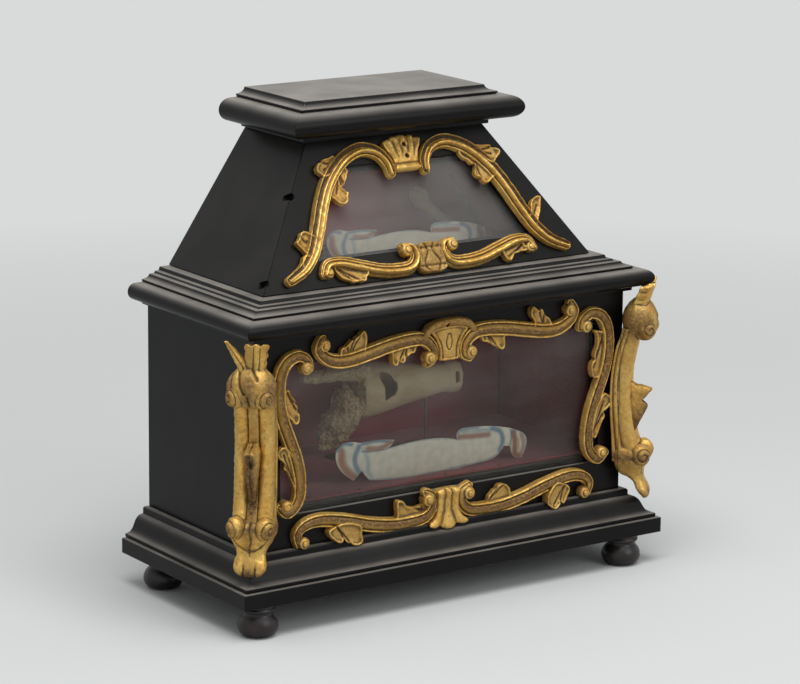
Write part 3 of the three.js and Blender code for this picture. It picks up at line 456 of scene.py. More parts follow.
# Rounds each corner of a closed outline a little and says how exposed each point is
def easedOutline(points, easeMm=0.35):
    points = [np.array(p, float) for p in points]
    points = [p for i, p in enumerate(points) if np.linalg.norm(p - points[i - 1]) > 1e-3]
    result, exposed = [], []
    for i, here in enumerate(points):
        a, b = points[i - 1] - here, points[(i + 1) % len(points)] - here
        lengthA, lengthB = np.linalg.norm(a), np.linalg.norm(b)
        turn = math.degrees(math.acos(np.clip(-np.dot(a, b) / lengthA / lengthB, -1, 1)))
        if turn < 24:
            result.append(here)
            exposed.append(0.0)
            continue
        convex = a[0] * b[1] - a[1] * b[0] < 0
        cut = min(easeMm, 0.4 * lengthA, 0.4 * lengthB)
        result += bezier([here + a / lengthA * cut, here, here + b / lengthB * cut], 3)
        exposed += [float(convex)] * 3
    return np.array(result), np.array(exposed)


# Geometry Nodes are built here, given their values by name and finished into a plain mesh
def newTree(name, inputs):
    tree = bpy.data.node_groups.new(name, "GeometryNodeTree")
    for socketName, kind in {"Geometry": "Geometry", **inputs, "Finish": "Material"}.items():
        tree.interface.new_socket(socketName, in_out="INPUT", socket_type="NodeSocket" + kind)
    tree.interface.new_socket("Geometry", in_out="OUTPUT", socket_type="NodeSocketGeometry")
    add = partial(addNode, tree)
    return tree, add, add("NodeGroupInput").outputs


def closeTree(tree, add, given, geometry):
    real = add("GeometryNodeRealizeInstances", geometry)
    add("NodeGroupOutput", Geometry=add("GeometryNodeSetMaterial", real, Material=given["Finish"]))
    return tree


def grow(name, mesh, tree, finish, values, sharp=32):
    carrier = link(name, mesh)
    modifier = carrier.modifiers.new("grow", "NODES")
    modifier.node_group = tree
    for item in tree.interface.items_tree:
        if item.in_out == "INPUT" and item.name in {**values, "Finish": 0}:
            modifier[item.identifier] = finishes[finish] if item.name == "Finish" else values[item.name]
    bake(carrier)
    carrier.data.shade_smooth()
    carrier.data.set_sharp_from_angle(angle=math.radians(sharp))
    return carrier


# A length of moulding: the given section is run from Start to End along x, each end cut back or
# let out by its distance from the wall, then turned to its wall.
def mouldingTree():
    tree, add, given = newTree("mitredRun", {
        "Start": "Float", "End": "Float", "Start Mitre": "Float", "End Mitre": "Float", "Steps": "Int",
        "Turn": "Float", "Corner": "Vector"})
    section = add("GeometryNodeMeshToCurve", given["Geometry"])
    line = add("GeometryNodeCurvePrimitiveLine", End=(1, 0, 0))
    stepped = add("GeometryNodeResampleCurve", line, Count=given["Steps"])
    run = add("GeometryNodeCurveToMesh", stepped, section, Fill_Caps=True)
    x, out, up = add("SeparateXYZ", add("GeometryNodeInputPosition")).outputs
    start = add("Math MULTIPLY_ADD", out, given["Start Mitre"], given["Start"])
    end = add("Math SUBTRACT", given["End"], add("Math MULTIPLY", out, given["End Mitre"]))
    along = add("Math MULTIPLY_ADD", x, add("Math SUBTRACT", end, start), start)
    cut = add("GeometryNodeSetPosition", run, Position=add("CombineXYZ", along, out, up))
    turned = add("GeometryNodeTransform", cut, Translation=given["Corner"], Rotation=add("CombineXYZ", Z=given["Turn"]))
    return closeTree(tree, add, given, turned)


# Mouldings are drawn as (out from the wall, up)
mouldings = {
    "walls": {"case": (183.5, 0.0), "cap": (88.6, 76.36)}, "back": 168.0, "mitreGap": 0.12, "steps": 10, "wear": 0.3,
}
profiles = {
    ("base_moulding", "case"): [(0.3, 39.2), (22.9, 39.2), (22.9, 42.2)]
    + bezier([(22.4, 42.3), (12.5, 42.4), (16.5, 56.7), (6.2, 56.9)], 22)
    + [(5.7, 57.3), (5.7, 60.8)] + bezier([(5.7, 60.8), (5.5, 62.8), (3.2, 62.8)], 7) + [(0.3, 62.8)],
    ("cornice", "case"): [(0.3, 236.5), (5, 236.5), (5, 238.2)] + bezier([(5, 238.2), (5.4, 241), (9.6, 241.2)], 8)
    + arc((11.8, 248.1), (7, 6.9), -90, 90, 18) + [(4.4, 255.2), (5.3, 255.9), (5.3, 257.4)]
    + bezier([(5.3, 257.4), (-1, 257.8), (-1.9, 261.1)], 9) + [(-6.4, 261.3), (-7.2, 262.9), (-10.8, 263.2)]
    + [(-11.8, 266.1), (-32, 266.1), (-32, 250.8), (0.3, 250.8)],
    ("cap_moulding", "cap"): [(0.3, 376.6), (3.7, 376.6), (3.7, 379.2)]
    + bezier([(3.7, 379.2), (4.4, 382), (10, 382.2)], 8) + arc((14.6, 391.8),
(11.1, 9.6), -90, 90, 22) + [(8.2, 401.6), (8.2, 402.2), (0.3, 402.2)], }


def mitredMoulding(name, profile, halfWidth, front, tree, look=mouldings):
    outline, exposed = easedOutline(profile)
    gap, back, quarter = look["mitreGap"], look["back"], math.pi / 2
    runs = {
        "front": (-halfWidth + gap, halfWidth - gap, 1, 1, 0, (0, front, 0)),
        "left": (-back, -front - gap, 0, 1, -quarter, (-halfWidth, 0, 0)),
        "right": (front + gap, back, 1, 0, quarter, (halfWidth, 0, 0)),
    }
    for side, (start, end, startMitre, endMitre, turn, corner) in runs.items():
        mesh = bpy.data.meshes.new(f"{name}_{side}_section")
        count = len(outline)
        edges = [(i, (i + 1) % count) for i in range(count)]
        mesh.from_pydata([(out * mm, -up * mm, 0) for out, up in outline], edges, [])
        mesh.attributes.new("arris", "FLOAT", "POINT").data.foreach_set("value", exposed * look["wear"])
        piece = grow(f"{name}_{side}_run", mesh, tree, "ebony" if side == "front" else "ebonyDeep", {
            "Start": start * mm, "End": end * mm, "Start Mitre": startMitre, "End Mitre": endMitre,
            "Steps": look["steps"], "Turn": turn, "Corner": toFrame(corner).tolist()})
        settle(outward(piece), "casket", "ebonised_wood", f"{name}_{side}")


runTree = mouldingTree()
for (name, wall), profile in profiles.items():
    mitredMoulding(name, profile, *mouldings["walls"][wall], runTree)
print("mouldings run")


# Curves run smoothly through their points, columns after the second (a width, say) along with them
def curveThrough(points, closed=False, spacing=0.6):
    p = np.array(points, float)
    count = len(p)
    ring = p[np.arange(-1, count + 2) % count] if closed else np.vstack([p[:1], p, p[-1:]])
    runs = []
    for i in range(count if closed else count - 1):
        a, b, c, d = ring[i:i + 4]
        steps = max(2, int(np.linalg.norm((c - b)[:2]) / spacing))
        t = np.linspace(0, 1, steps, endpoint=False)[:, None]
        square, cube = 2 * a - 5 * b + 4 * c - d, 3 * b - a - 3 * c + d
        runs.append(0.5 * (2 * b + (c - a) * t + square * t ** 2 + cube * t ** 3))
    return np.concatenate(runs if closed else runs + [p[-1:]])


# Carving. A gilt piece is cut from a fine grid of air and wood: every form is a height over its
# outline, laid in with a small fillet, and the skin of the wood is taken off as even quads.
carvingGrid = {"stepMm": 0.5, "filletMm": 0.5, "edgeMm": 0.7, "baseMm": 0.3, "air": 9.0}


def softMin(a, b, k):
    share = np.clip(0.5 + 0.5 * (b - a) / k, 0, 1)
    return b + (a - b) * share - k * share * (1 - share)


def softMax(a, b, k):
    return -softMin(-a, -b, k)


# A line's or a rim's soft profile: one at the middle, next to nothing at twice the width
def bell(away, width=1.0):
    return np.exp(-(away / width) ** 2)


def rise(value, start, span):
    return np.clip((value - start) / span, 0, 1)


def newCarving(low, high, step=carvingGrid["stepMm"]):
    axes = [np.arange(a, b + step, step, dtype=np.float32) for a, b in zip(low, high)]
    shape = [len(axis) for axis in axes]
    return {
        "axes": axes, "step": step, "wood": np.full(shape, carvingGrid["air"], np.float32),
        "top": np.zeros(shape[:2], np.float32), "tone": np.zeros(shape[:2], np.float32),
    }


# The part of the grid round some points, with its coordinates
def windowOn(carving, points, margin):
    points = np.atleast_2d(np.asarray(points, float))[:, :2]
    limits = zip(carving["axes"], points.min(axis=0) - margin, points.max(axis=0) + margin)
    spans = tuple(slice(*np.searchsorted(axis, (low, high))) for axis, low, high in limits)
    x, y = np.meshgrid(*(axis[span] for axis, span in zip(carving["axes"], spans)), indexing="ij")
    return spans, x, y


def layForm(carving, window, height, distance, tone):
    form = softMax(carving["axes"][2] - height[:, :, None], distance[:, :, None], carvingGrid["edgeMm"])
    carving["wood"][window] = softMin(carving["wood"][window], form, carvingGrid["filletMm"])
    here = (distance < 0.3) & (height > carving["top"][window])
    carving["top"][window] = np.where(here, height, carving["top"][window])
    carving["tone"][window] = np.where(here, tone, carving["tone"][window])


def lineDistance(x, y, line):
    best = np.full(x.shape, 1e9, np.float32)
    for a, b in zip(line[:-1], line[1:]):
        run = b - a
        t = np.clip(((x - a[0]) * run[0] + (y - a[1]) * run[1]) / max(run @ run, 1e-9), 0, 1)
        best = np.minimum(best, (x - a[0] - t * run[0]) ** 2 + (y - a[1] - t * run[1]) ** 2)
    return np.sqrt(best)


# Distance to a closed outline, less than nothing inside it
def outlineDistance(x, y, outline):
    closed = np.vstack([outline, outline[:1]])
    inside = np.zeros(x.shape, bool)
    for a, b in zip(closed[:-1], closed[1:]):
        with np.errstate(divide="ignore", invalid="ignore"):
            inside ^= ((a[1] > y) != (b[1] > y)) & (x < a[0] + (y - a[1]) * (b[0] - a[0]) / (b[1] - a[1]))
    return lineDistance(x, y, closed) * np.where(inside, -1, 1)


# Band sections: across from the outer edge to the inner, height, and how brown the leaf is toned
lowerBand = np.array([
    (-0.5, 0.3, 0.2), (-0.47, 0.52, 0.1), (-0.42, 0.64, 0), (-0.36, 0.62, 0.2), (-0.31, 0.46, 1),
    (-0.26, 0.54, 0.8), (-0.2, 0.74, 0.3), (-0.12, 0.86, 0.7), (0, 0.9, 0.95), (0.12, 0.88, 1),
    (0.22, 0.8, 0.9), (0.27, 0.6, 1), (0.32, 0.66, 0.2), (0.38, 0.78, 0), (0.44, 0.72, 0.1),
    (0.48, 0.55, 0.3), (0.5, 0.3, 0.5),
])
upperBand = np.array([
    (-0.5, 0.3, 0.3), (-0.47, 0.62, 0.1), (-0.43, 0.7, 0), (-0.4, 0.6, 0.5), (-0.34, 0.48, 1),
    (-0.24, 0.46, 1), (-0.14, 0.54, 0.9), (-0.1, 0.66, 0.4), (-0.06, 0.7, 0.1), (-0.02, 0.68, 0.4),
    (0.02, 0.82, 0.1), (0.1, 0.98, 0), (0.18, 1, 0), (0.26, 0.9, 0.1), (0.31, 0.66, 0.4),
    (0.345, 0.46, 1), (0.38, 0.58, 0.3), (0.43, 0.62, 0), (0.48, 0.54, 0.2), (0.5, 0.3, 0.4),
])
apronBand = np.array([
    (-0.5, 0.3, 0.3), (-0.46, 0.56, 0.1), (-0.4, 0.62, 0), (-0.34, 0.5, 0.8), (-0.28, 0.56, 0.3),
    (-0.22, 0.7, 0), (-0.16, 0.6, 0.3), (-0.1, 0.5, 1), (-0.02, 0.72, 0.4), (0.08, 0.94, 0),
    (0.18, 1, 0), (0.28, 0.86, 0.1), (0.35, 0.58, 0.6), (0.42, 0.5, 1), (0.47, 0.46, 0.6), (0.5, 0.3, 0.5),
])


# A moulded band along a path. Seen along it, the section's outer edge is on the left for side 1.
def carveBand(carving, path, width, height, section, side=1, taper=0.4):
    line = curveThrough(path)
    window, x, y = windowOn(carving, line, width)
    tangent = np.gradient(line, axis=0)
    tangent /= np.linalg.norm(tangent, axis=1)[:, None]
    place = np.concatenate([[0], np.cumsum(np.linalg.norm(np.diff(line, axis=0), axis=1))])
    place /= place[-1]
    nearest = np.zeros(x.shape, int)
    best = np.full(x.shape, 1e9, np.float32)
    for i, (px, py) in enumerate(line):
        gap = (x - px) ** 2 + (y - py) ** 2
        closer = gap < best
        nearest[closer], best[closer] = i, gap[closer]
    fromX, fromY = x - line[nearest, 0], y - line[nearest, 1]
    aheadX, aheadY = tangent[nearest, 0], tangent[nearest, 1]
    across = (fromY * aheadX - fromX * aheadY) * -side
    beyond = (fromX * aheadX + fromY * aheadY) * np.where(nearest == 0, -1, 1)
    beyond = np.where((nearest == 0) | (nearest == len(line) - 1), np.maximum(beyond, 0), 0)
    narrow = 1 - taper * np.abs(2 * place[nearest] - 1) ** 3
    wide = width * narrow
    u = np.sign(across) * np.hypot(across, beyond) / wide
    h = np.interp(u, section[:, 0], section[:, 1]) * height * (0.7 + 0.3 * narrow)
    tone = np.interp(u, section[:, 0], section[:, 2])
    layForm(carving, window, carvingGrid["baseMm"] + h, np.hypot(across, beyond) - wide / 2, tone)


# The round eye of a volute: a button inside a groove that winds into it
def carveEye(carving, at, radius, height, tone=0.35):
    window, x, y = windowOn(carving, at, radius + 2)
    reach = np.hypot(x - at[0], y - at[1])
    turn = np.arctan2(y - at[1], x - at[0]) / (2 * math.pi)
    dome = np.sqrt(np.clip(1 - (reach / radius / 1.15) ** 2, 0, 1))
    groove = bell(((reach / (0.55 * radius) - turn) % 1 - 0.5) * 0.55 * radius, 0.5)
    groove *= np.clip(reach / radius * 3 - 0.6, 0, 1)
    layForm(carving, window, height * (0.55 + 0.45 * dome) - 0.8 * groove, reach - radius, tone + 0.5 * groove)


# A leaf has a scalloped outline, its lobes parted by grooves from the root and scooped inside a rim.
# Where it runs under a band the band covers it.
leafCut = {"base": 4.6, "lift": 1.8, "rim": 0.8, "scoop": 0.9, "veinDepth": 1.1, "veinMm": 0.8, "tone": 0.3}


def carveLeaf(carving, outline, root, notches, tip, look=leafCut):
    shape = curveThrough(outline, closed=True, spacing=0.9)
    window, x, y = windowOn(carving, shape, 3)
    distance = outlineDistance(x, y, shape)
    inset = np.clip(-distance, 0, None)
    root, tip = np.array(root, float), np.array(tip, float)
    run = tip - root
    along = np.clip(((x - root[0]) * run[0] + (y - root[1]) * run[1]) / (run @ run), 0, 1.2)
    height = look["base"] + look["lift"] * along ** 1.5
    height = height + look["rim"] * bell(inset - 0.8, 0.8) - look["scoop"] * (1 - bell(inset, 2.4))
    vein = np.zeros(x.shape)
    for notch in notches:
        line = curveThrough([root, (root + np.array(notch)) / 2 + run * 0.06, notch], spacing=1.5)
        vein = np.maximum(vein, bell(lineDistance(x, y, line), look["veinMm"]))
    tone = look["tone"] + 0.5 * vein + 0.25 * (1 - bell(inset, 2))
    layForm(carving, window, height - look["veinDepth"] * vein, distance, tone)


# A flat form with its own surface: shape is a function of x, y and the distance in from the edge
def carvePlate(carving, outline, shape, tone=0.4):
    edge = curveThrough(outline, closed=True, spacing=0.9)
    window, x, y = windowOn(carving, edge, 3)
    distance = outlineDistance(x, y, edge)
    layForm(carving, window, shape(x, y, np.clip(-distance, 0, None)), distance, tone)


# Cuts into what is there and darkens the cut
def cutInto(carving, window, cut, depth, toneShare=1.0):
    carving["wood"][window] += (depth * cut)[:, :, None]
    carving["tone"][window] = np.maximum(carving["tone"][window], toneShare * cut)


def incise(carving, path, depth, widthMm, closed=False):
    line = curveThrough(path, closed=closed, spacing=0.8)
    if closed:
        line = np.vstack([line, line[:1]])
    window, x, y = windowOn(carving, line, 3 * widthMm)
    cutInto(carving, window, bell(lineDistance(x, y, line), widthMm), depth, 0.9)


def boreNail(carving, at, radius, depth):
    window, x, y = windowOn(carving, at, radius + 2)
    cutInto(carving, window, 1 / (1 + np.exp((np.hypot(x - at[0], y - at[1]) - radius) / 0.2)), depth)


# The skin where the grid's field changes sign: one point in each cell the skin passes through
def skinOf(wood, low, step):
    inside, field = wood < 0, wood.ravel()
    strides = np.array([wood.shape[1] * wood.shape[2], wood.shape[2], 1])
    total, count = np.zeros((3, wood.size)), np.zeros(wood.size)
    quads = []
    for axis in range(3):
        first, second = [slice(None)] * 3, [slice(None)] * 3
        first[axis], second[axis] = slice(0, -1), slice(1, None)
        at = np.array(np.nonzero(inside[tuple(first)] != inside[tuple(second)]))
        start = strides @ at
        before, after = field[start], field[start + strides[axis]]
        crossing = at.astype(float)
        crossing[axis] += before / (before - after)
        u, v = strides[(axis + 1) % 3], strides[(axis + 2) % 3]
        ring = np.stack([start, start - u, start - u - v, start - v], axis=1)
        for cell in ring.T:
            count += np.bincount(cell, minlength=wood.size)
            for i in range(3):
                total[i] += np.bincount(cell, weights=crossing[i], minlength=wood.size)
        quads.append(np.where((before < 0)[:, None], ring, ring[:, ::-1]))
    used = np.nonzero(count)[0]
    number = np.zeros(wood.size, int)
    number[used] = np.arange(len(used))
    return (total[:, used] / count[used]).T * step + low, number[np.concatenate(quads)]


def averaged(values, quads):
    a, b = quads.ravel(), np.roll(quads, -1, axis=1).ravel()
    ends, others, count = np.concatenate([a, b]), np.concatenate([b, a]), len(values)
    weight = np.bincount(ends, minlength=count)
    sums = [np.bincount(ends, weights=column[others], minlength=count) for column in values.T]
    return np.stack([total / weight for total in sums], axis=1)


def smoothed(points, quads, weights):
    for weight in weights:
        points = points + weight * (averaged(points, quads) - points)
    return points


def skinNormals(points, quads):
    corner = points[quads]
    face = np.cross(corner[:, 2] - corner[:, 0], corner[:, 3] - corner[:, 1])
    normal = np.stack([np.bincount(quads.ravel(), weights=np.repeat(face[:, i], 4), minlength=len(points))
                       for i in range(3)], axis=1)
    return normal / np.maximum(np.linalg.norm(normal, axis=1)[:, None], 1e-9)


# Soft unevenness from waves in seeded directions
def unevenness(points, sizeMm, seed, waves=14):
    rng = np.random.default_rng(seed)
    total = np.zeros(len(points))
    for _ in range(waves):
        direction = rng.normal(size=3)
        direction *= rng.uniform(0.6, 1.5) * 2 * math.pi / sizeMm / np.linalg.norm(direction)
        total += np.sin(points @ direction + rng.uniform(0, 6.283))
    return total / waves ** 0.5


# The knife's hand: slight waves, small facets, and edges rounded by the gesso
knife = {
    "waveMm": 7, "waveDepth": 0.13, "chipMm": 1.7, "chipDepth": 0.05,
    "ridgeMm": 0.13, "hollowMm": 0.15, "broadMm": 0.62,
}


# Takes the skin off a carving and sets it in place. A side is carved as the right one and seeded
# apart, and the left one is mirrored.
def finishCarving(name, carving, place, seed, node, side=None, look=knife, base=carvingGrid["baseMm"]):
    axes, wood = carving["axes"], carving["wood"]
    if base is not None:
        wood = np.maximum(wood, base - axes[2])
    if side:
        node, seed = f"{node}_{side}", seed + 4 * (side == "right")
    low = np.array([axis[0] for axis in axes])
    points, quads = skinOf(wood, low, carving["step"])
    points = smoothed(points, quads, (0.5, -0.52, 0.5, -0.52))
    normal = skinNormals(points, quads)
    near = smoothed(points, quads, [1] * 8)
    cavity, broad = (((soft - points) * normal).sum(axis=1) for soft in (near, smoothed(near, quads, [1] * 32)))
    above = points[:, 2] - carvingGrid["baseMm"]
    push = look["waveDepth"] * unevenness(points, look["waveMm"], seed)
    push = push + look["chipDepth"] * unevenness(points, look["chipMm"], seed + 1)
    points = points + normal * (push * np.clip(above / 1.5, 0, 1))[:, None]
    above = np.clip(points[:, 2] - carvingGrid["baseMm"], 0, None)
    # How deep each point lies, for the grime and the painted shade: in crevices, in broad dips, and as a painted
    # contact shade just above the ground the carving stands on.
    hollowGrimeAndShade = np.clip(np.maximum(cavity / look["hollowMm"], broad / look["broadMm"]), 0, 1)
    hollowGrimeAndShade = np.maximum(hollowGrimeAndShade, np.exp(-above / 0.9) * (points[:, 2] > 0))
    cell = [np.clip(((points[:, i] - low[i]) / carving["step"]).astype(int), 0, len(axes[i]) - 1) for i in range(2)]
    placed = place(points)
    if side == "left":
        placed[:, 0] *= -1
        quads = quads[:, ::-1]
    piece = newPiece(name, placed, quads, "gilt", None, {
        "ridge": np.clip(-cavity / look["ridgeMm"], 0, 1), "hollowGrimeAndShade": hollowGrimeAndShade, "toned": carving["tone"][tuple(cell)]})
    print(f"{name} carved, {2 * len(quads)} triangles")
    settle(piece, "casket", "gilded_wood", node)


def onCase(points):
    return np.stack([points[:, 0], -points[:, 2], points[:, 1]], axis=1)


roofLean = {"footY": 21.06, "footZ": 266.4, "degrees": 26.77}


def onRoof(points, roof=roofLean):
    sine, cosine = math.sin(math.radians(roof["degrees"])), math.cos(math.radians(roof["degrees"]))
    x, up, out = points.T
    return np.stack([x, roof["footY"] + up * sine - out * cosine, roof["footZ"] + up * cosine + out * sine], axis=1)


def onCorner(points, diagonal=2 ** 0.5):
    across, up, out = points.T
    return np.stack([mouldings["walls"]["case"][0] + (across + out) / diagonal, (across - out) / diagonal, up], axis=1)


def flipped(points):
    return [(-x, y) for x, y in points]


# Both halves of a plate that is drawn from its middle
def bothHalves(half):
    return half[::-1] + flipped(half)[1:]


# Leaves first, then a mirrored pair of bands with their eyes over them
def carveScrolls(carving, leaves, look, section, side=1):
    for leaf in leaves:
        carveLeaf(carving, *leaf)
    for mirror, path in ((1, look["path"]), (-1, flipped(look["path"]))):
        carveBand(carving, path, look["width"], look["height"], section, side * mirror)
        for (x, y), radius, height in look["eyes"]:
            carveEye(carving, (x * mirror, y), radius, height)


# Crest of the lower frame: two S-scrolls meeting at a shield under a rounded arch
crest = {
    "width": 13, "height": 9, "top": 236.1, "nail": (-3, 230),
    "eyes": [((20.8, 204.8), 5.2, 10.6), ((122.6, 227.6), 5.2, 9.6)],
    "path": [(21, 199.6), (15.8, 203.5), (16.4, 212), (25, 219.8), (38, 221.4), (58, 219.4), (78, 215.6),
             (97, 212.4), (111, 212.8), (121.5, 217.4), (127.4, 225), (124, 233)],
    "arch": [(-24, 223.5), (-19, 228.6), (-10, 231.4), (0, 232), (10, 231.4), (19, 228.6), (24, 223.5)],
    "shield": [(-8.5, 200.4), (-9.6, 206), (-10.5, 212), (-13.5, 219), (-17, 223), (-18, 226), (-10, 228.6), (0, 229),
               (10, 228.6), (18, 226), (17, 223), (13.5, 219), (10.5, 212), (9.6, 206), (8.5, 200.4)],
    "archBand": [(-0.5, 0.4, 0.8), (-0.36, 0.8, 0.75), (0, 1, 0.7), (0.36, 0.8, 0.75), (0.5, 0.4, 0.8)],
    "grooves": [[(-6.5, 202), (-7.4, 212), (-10.5, 219)], [(6.5, 202), (7.4, 212), (10.5, 219)]],
}
crestLeaves = [
    ([(-106, 221.5), (-101, 224), (-97.5, 227), (-95.5, 228.8), (-94.3, 227.6), (-91.5, 230.2), (-89, 231.2),
      (-87, 234), (-85, 235.3), (-83, 233.6), (-81.8, 229.5), (-81.8, 224), (-82.5, 219), (-84, 212), (-104, 212)],
     (-98, 213), [(-94.3, 227.6), (-88, 231), (-100, 223)], (-85, 235)),
    ([(-57, 210.5), (-57, 206), (-56, 203.3), (-53.5, 202), (-51, 203.4), (-50, 206), (-49.2, 205.4), (-47.8, 203.6),
      (-46, 203.2), (-43.8, 204.8), (-42, 207.5), (-38, 209.8), (-34, 210.8), (-34, 218), (-55, 219)],
     (-40, 219), [(-49.4, 205.4), (-43, 206)], (-54, 202)),
    ([(86.5, 221), (83, 226), (81.6, 230.5), (83.6, 234.6), (86.5, 233.6), (89.5, 231.2), (91, 230.6), (93.5, 231.8),
      (95, 229.5), (98, 225.5), (103, 221.4), (104, 213), (87, 212)],
     (99, 213), [(91, 230.4), (96, 227)], (84, 234)),
    ([(34, 211.5), (39, 210), (43, 207.5), (48, 205), (51, 203), (53, 202.3), (55.4, 204.5), (55.8, 208), (55.6, 212),
      (55, 219), (34, 219)],
     (38, 219), [(48, 205), (42, 208)], (54, 202.4)),
]


def shieldFace(x, y, inset):
    rim = 0.9 * bell(inset - 1.2, 0.9)
    return 5.6 + rim + 0.5 * np.cos(np.clip(x / 12, -1, 1) * math.pi) * np.clip(inset / 3, 0, 1)


def makeCrest(look=crest):
    carving = newCarving((-137, 193, -0.5), (137, 239, 13))
    carveScrolls(carving, crestLeaves, look, lowerBand)
    carvePlate(carving, look["shield"], shieldFace, 0.45)
    carveBand(carving, look["arch"], 7.6, 9, np.array(look["archBand"]), taper=0.15)
    oval = [(-0.5 + 2.6 * math.cos(a), 215.6 + 6.8 * math.sin(a)) for a in np.linspace(0, 2 * math.pi, 17)[:-1]]
    incise(carving, oval, 0.9, 0.55, closed=True)
    for groove in look["grooves"]:
        incise(carving, groove, 0.8, 0.6)
    boreNail(carving, look["nail"], 1.4, 5)
    carving["wood"] = np.maximum(carving["wood"], (carving["axes"][1] - look["top"])[None, :, None])
    finishCarving("lower_crest_carving", carving, onCase, 11, "lower_frame_crest")


makeCrest()

# Apron of the lower frame: the same scrolls below the pane, joined by a fluted shell
apron = {
    "width": 13, "height": 9, "eyes": [((20.6, 84.6), 5.2, 10.6), ((141.6, 66.6), 4.9, 9.6)],
    "path": [(21.4, 90.4), (14.8, 86), (14.6, 77), (22, 69.8), (36, 67.6), (55, 67.8), (78, 72), (101, 78.4),
             (124, 82.8), (139, 81.2), (147, 74.4), (145.4, 65.6)],
    "shell": [(10, 91.2), (10.5, 86), (10.3, 78), (11.5, 72), (14, 67), (18.6, 63.4), (19, 61), (15, 59.6), (9.5, 60.2),
              (7, 59), (3, 57.6), (0, 57.4)],
    "over": {"out": 6.5, "high": 63.2, "low": 57.2},
}
apronLeaves = [
    ([(-50.5, 76), (-51.2, 82), (-50.8, 86.6), (-49, 88), (-46, 87.2), (-43.6, 85.6), (-41, 82.4), (-37, 80.8),
      (-32, 79.8), (-27, 80.4), (-21.5, 82.6), (-18, 84), (-17, 78), (-24, 72), (-36, 70), (-50, 71)],
     (-22, 74), [(-41, 82.4), (-33, 80.6), (-26, 80.6)], (-50, 87.6)),
    ([(-118, 74), (-117.5, 68.6), (-114.4, 66), (-111.7, 63.4), (-108, 61.6), (-105.4, 62.4), (-104.2, 64.6),
      (-102.4, 62), (-100, 59.2), (-97.8, 58), (-95.6, 55.6), (-92.2, 54), (-88.6, 54.8), (-86.9, 57.4),
      (-86.2, 61), (-87, 66), (-88.5, 74), (-104, 78)],
     (-112, 77), [(-104.2, 64.6), (-98, 58.4)], (-89, 54.6)),
    ([(42, 77), (44.4, 79.7), (47.2, 82.4), (49.8, 83.4), (51.2, 85.6), (54.4, 86.8), (58.9, 86), (62.2, 83),
      (63.5, 79.7), (63.9, 75), (62, 70), (52, 68), (42, 70)],
     (38, 70), [(49.8, 83.4), (57, 86)], (62, 84)),
    ([(124.4, 74), (121.7, 65.8), (119.4, 61.9), (117.8, 59.7), (116.4, 60.8), (115, 62.4), (115, 59.7), (112.8, 56.3),
      (110.6, 53.6), (107.8, 53.6), (105, 56.9), (101.7, 61.3), (101.1, 64.7), (102.8, 72), (112, 80)],
     (120, 77), [(115, 62.4), (108, 58)], (108, 54)),
]


def shellFace(x, y, inset):
    down = np.clip((91 - y) / 33, 0, 1)
    height = 8.2 + 2.2 * rise(down, 0.6, 0.4) + 1.4 * bell(y - 88, 3)
    spread = np.interp(down, [0, 0.55, 1], [3.2, 3.7, 8.6])
    for centre in (-spread, spread):
        height = height - 2.4 * bell(x - centre, 1.4 + 1.6 * down)
    return height - 1.4 * np.exp(-inset / 1.2)


# The lowest leaves lie over the base moulding, so they are raised clear of it
def raisedLeaf(leaf):
    outline, root, notches, tip = leaf
    if tip[1] >= 60:
        return leaf

    def lift(point):
        x, y = point
        return (x, y if y > 62 else 57.6 + (y - 54) * 0.58)

    return [lift(p) for p in outline], root, [lift(p) for p in notches], lift(tip), dict(leafCut, base=8.2, lift=0.8)


def makeApron(look=apron):
    carving = newCarving((-156, 55, -0.5), (156, 98, 13))
    carveScrolls(carving, map(raisedLeaf, apronLeaves), look, lowerBand, -1)
    carvePlate(carving, look["shell"] + flipped(look["shell"])[::-1][1:], shellFace, 0.3)
    height, out = np.meshgrid(carving["axes"][1], carving["axes"][2], indexing="ij")
    over = look["over"]
    clear = np.maximum(np.minimum(over["out"] - out, over["high"] - height), over["low"] - height)
    carving["wood"] = np.maximum(carving["wood"], clear[None])
    finishCarving("lower_apron_carving", carving, onCase, 21, "lower_frame_apron")


makeApron()

# Side scrolls of the lower frame, each a long S with an eye at both ends
sideScroll = {
    "width": 12.6, "height": 9, "taper": 0.4, "box": ((130, 87, -0.5), (175, 230, 13)),
    "eyes": [((140, 211.4), 5.2, 10), ((158.6, 99.6), 5.2, 10.4)],
    "path": [(135.4, 210.5), (138, 217.4), (147, 221.6), (157.6, 217.4), (163.8, 206), (165, 189.6), (161.8, 171.6),
             (154.8, 153.4), (148, 135), (144.8, 116), (147, 101.8), (156, 93.4), (164, 98.5)],
}
sideLeaves = {
    "left": [
        ([(156, 195), (153.4, 190.6), (151, 187.5), (149.3, 185), (149.2, 182.8), (147.6, 180), (147.4, 177),
          (145.9, 173.6), (145.8, 170), (147.6, 166.8), (150.4, 166.6), (153, 170), (158, 176), (162, 190)],
         (158, 196), [(149.2, 182.8), (147, 175)], (148, 166.8)),
        ([(149, 110), (151.5, 116.2), (154.6, 123.4), (157.6, 128.6), (160.6, 130.4), (159.4, 134.2), (162, 137.6),
          (165.2, 140), (166.9, 144.2), (164.4, 148), (160.5, 149.2), (157, 147), (152, 141), (147, 128)],
         (149, 116), [(159.4, 134.2), (160, 142)], (166, 146)),
    ],
    "right": [
        ([(150, 206), (152.6, 202), (153.4, 197), (152.8, 192), (150.8, 188), (149.8, 184), (150.6, 181),
          (147.6, 178.6), (146.4, 174), (147.4, 168), (150.5, 165), (156, 166.5), (161, 174), (163, 200)],
         (160, 200), [(150.6, 181), (150, 174)], (149, 165.4)),
        ([(160, 150), (166, 148.4), (168.8, 145), (168.6, 141), (165, 137), (162, 134.4), (162.6, 129.5), (160, 126),
          (157, 118), (153, 112), (149, 118), (152, 136)],
         (152, 118), [(162, 134.4), (161, 143)], (168, 147)),
    ],
}


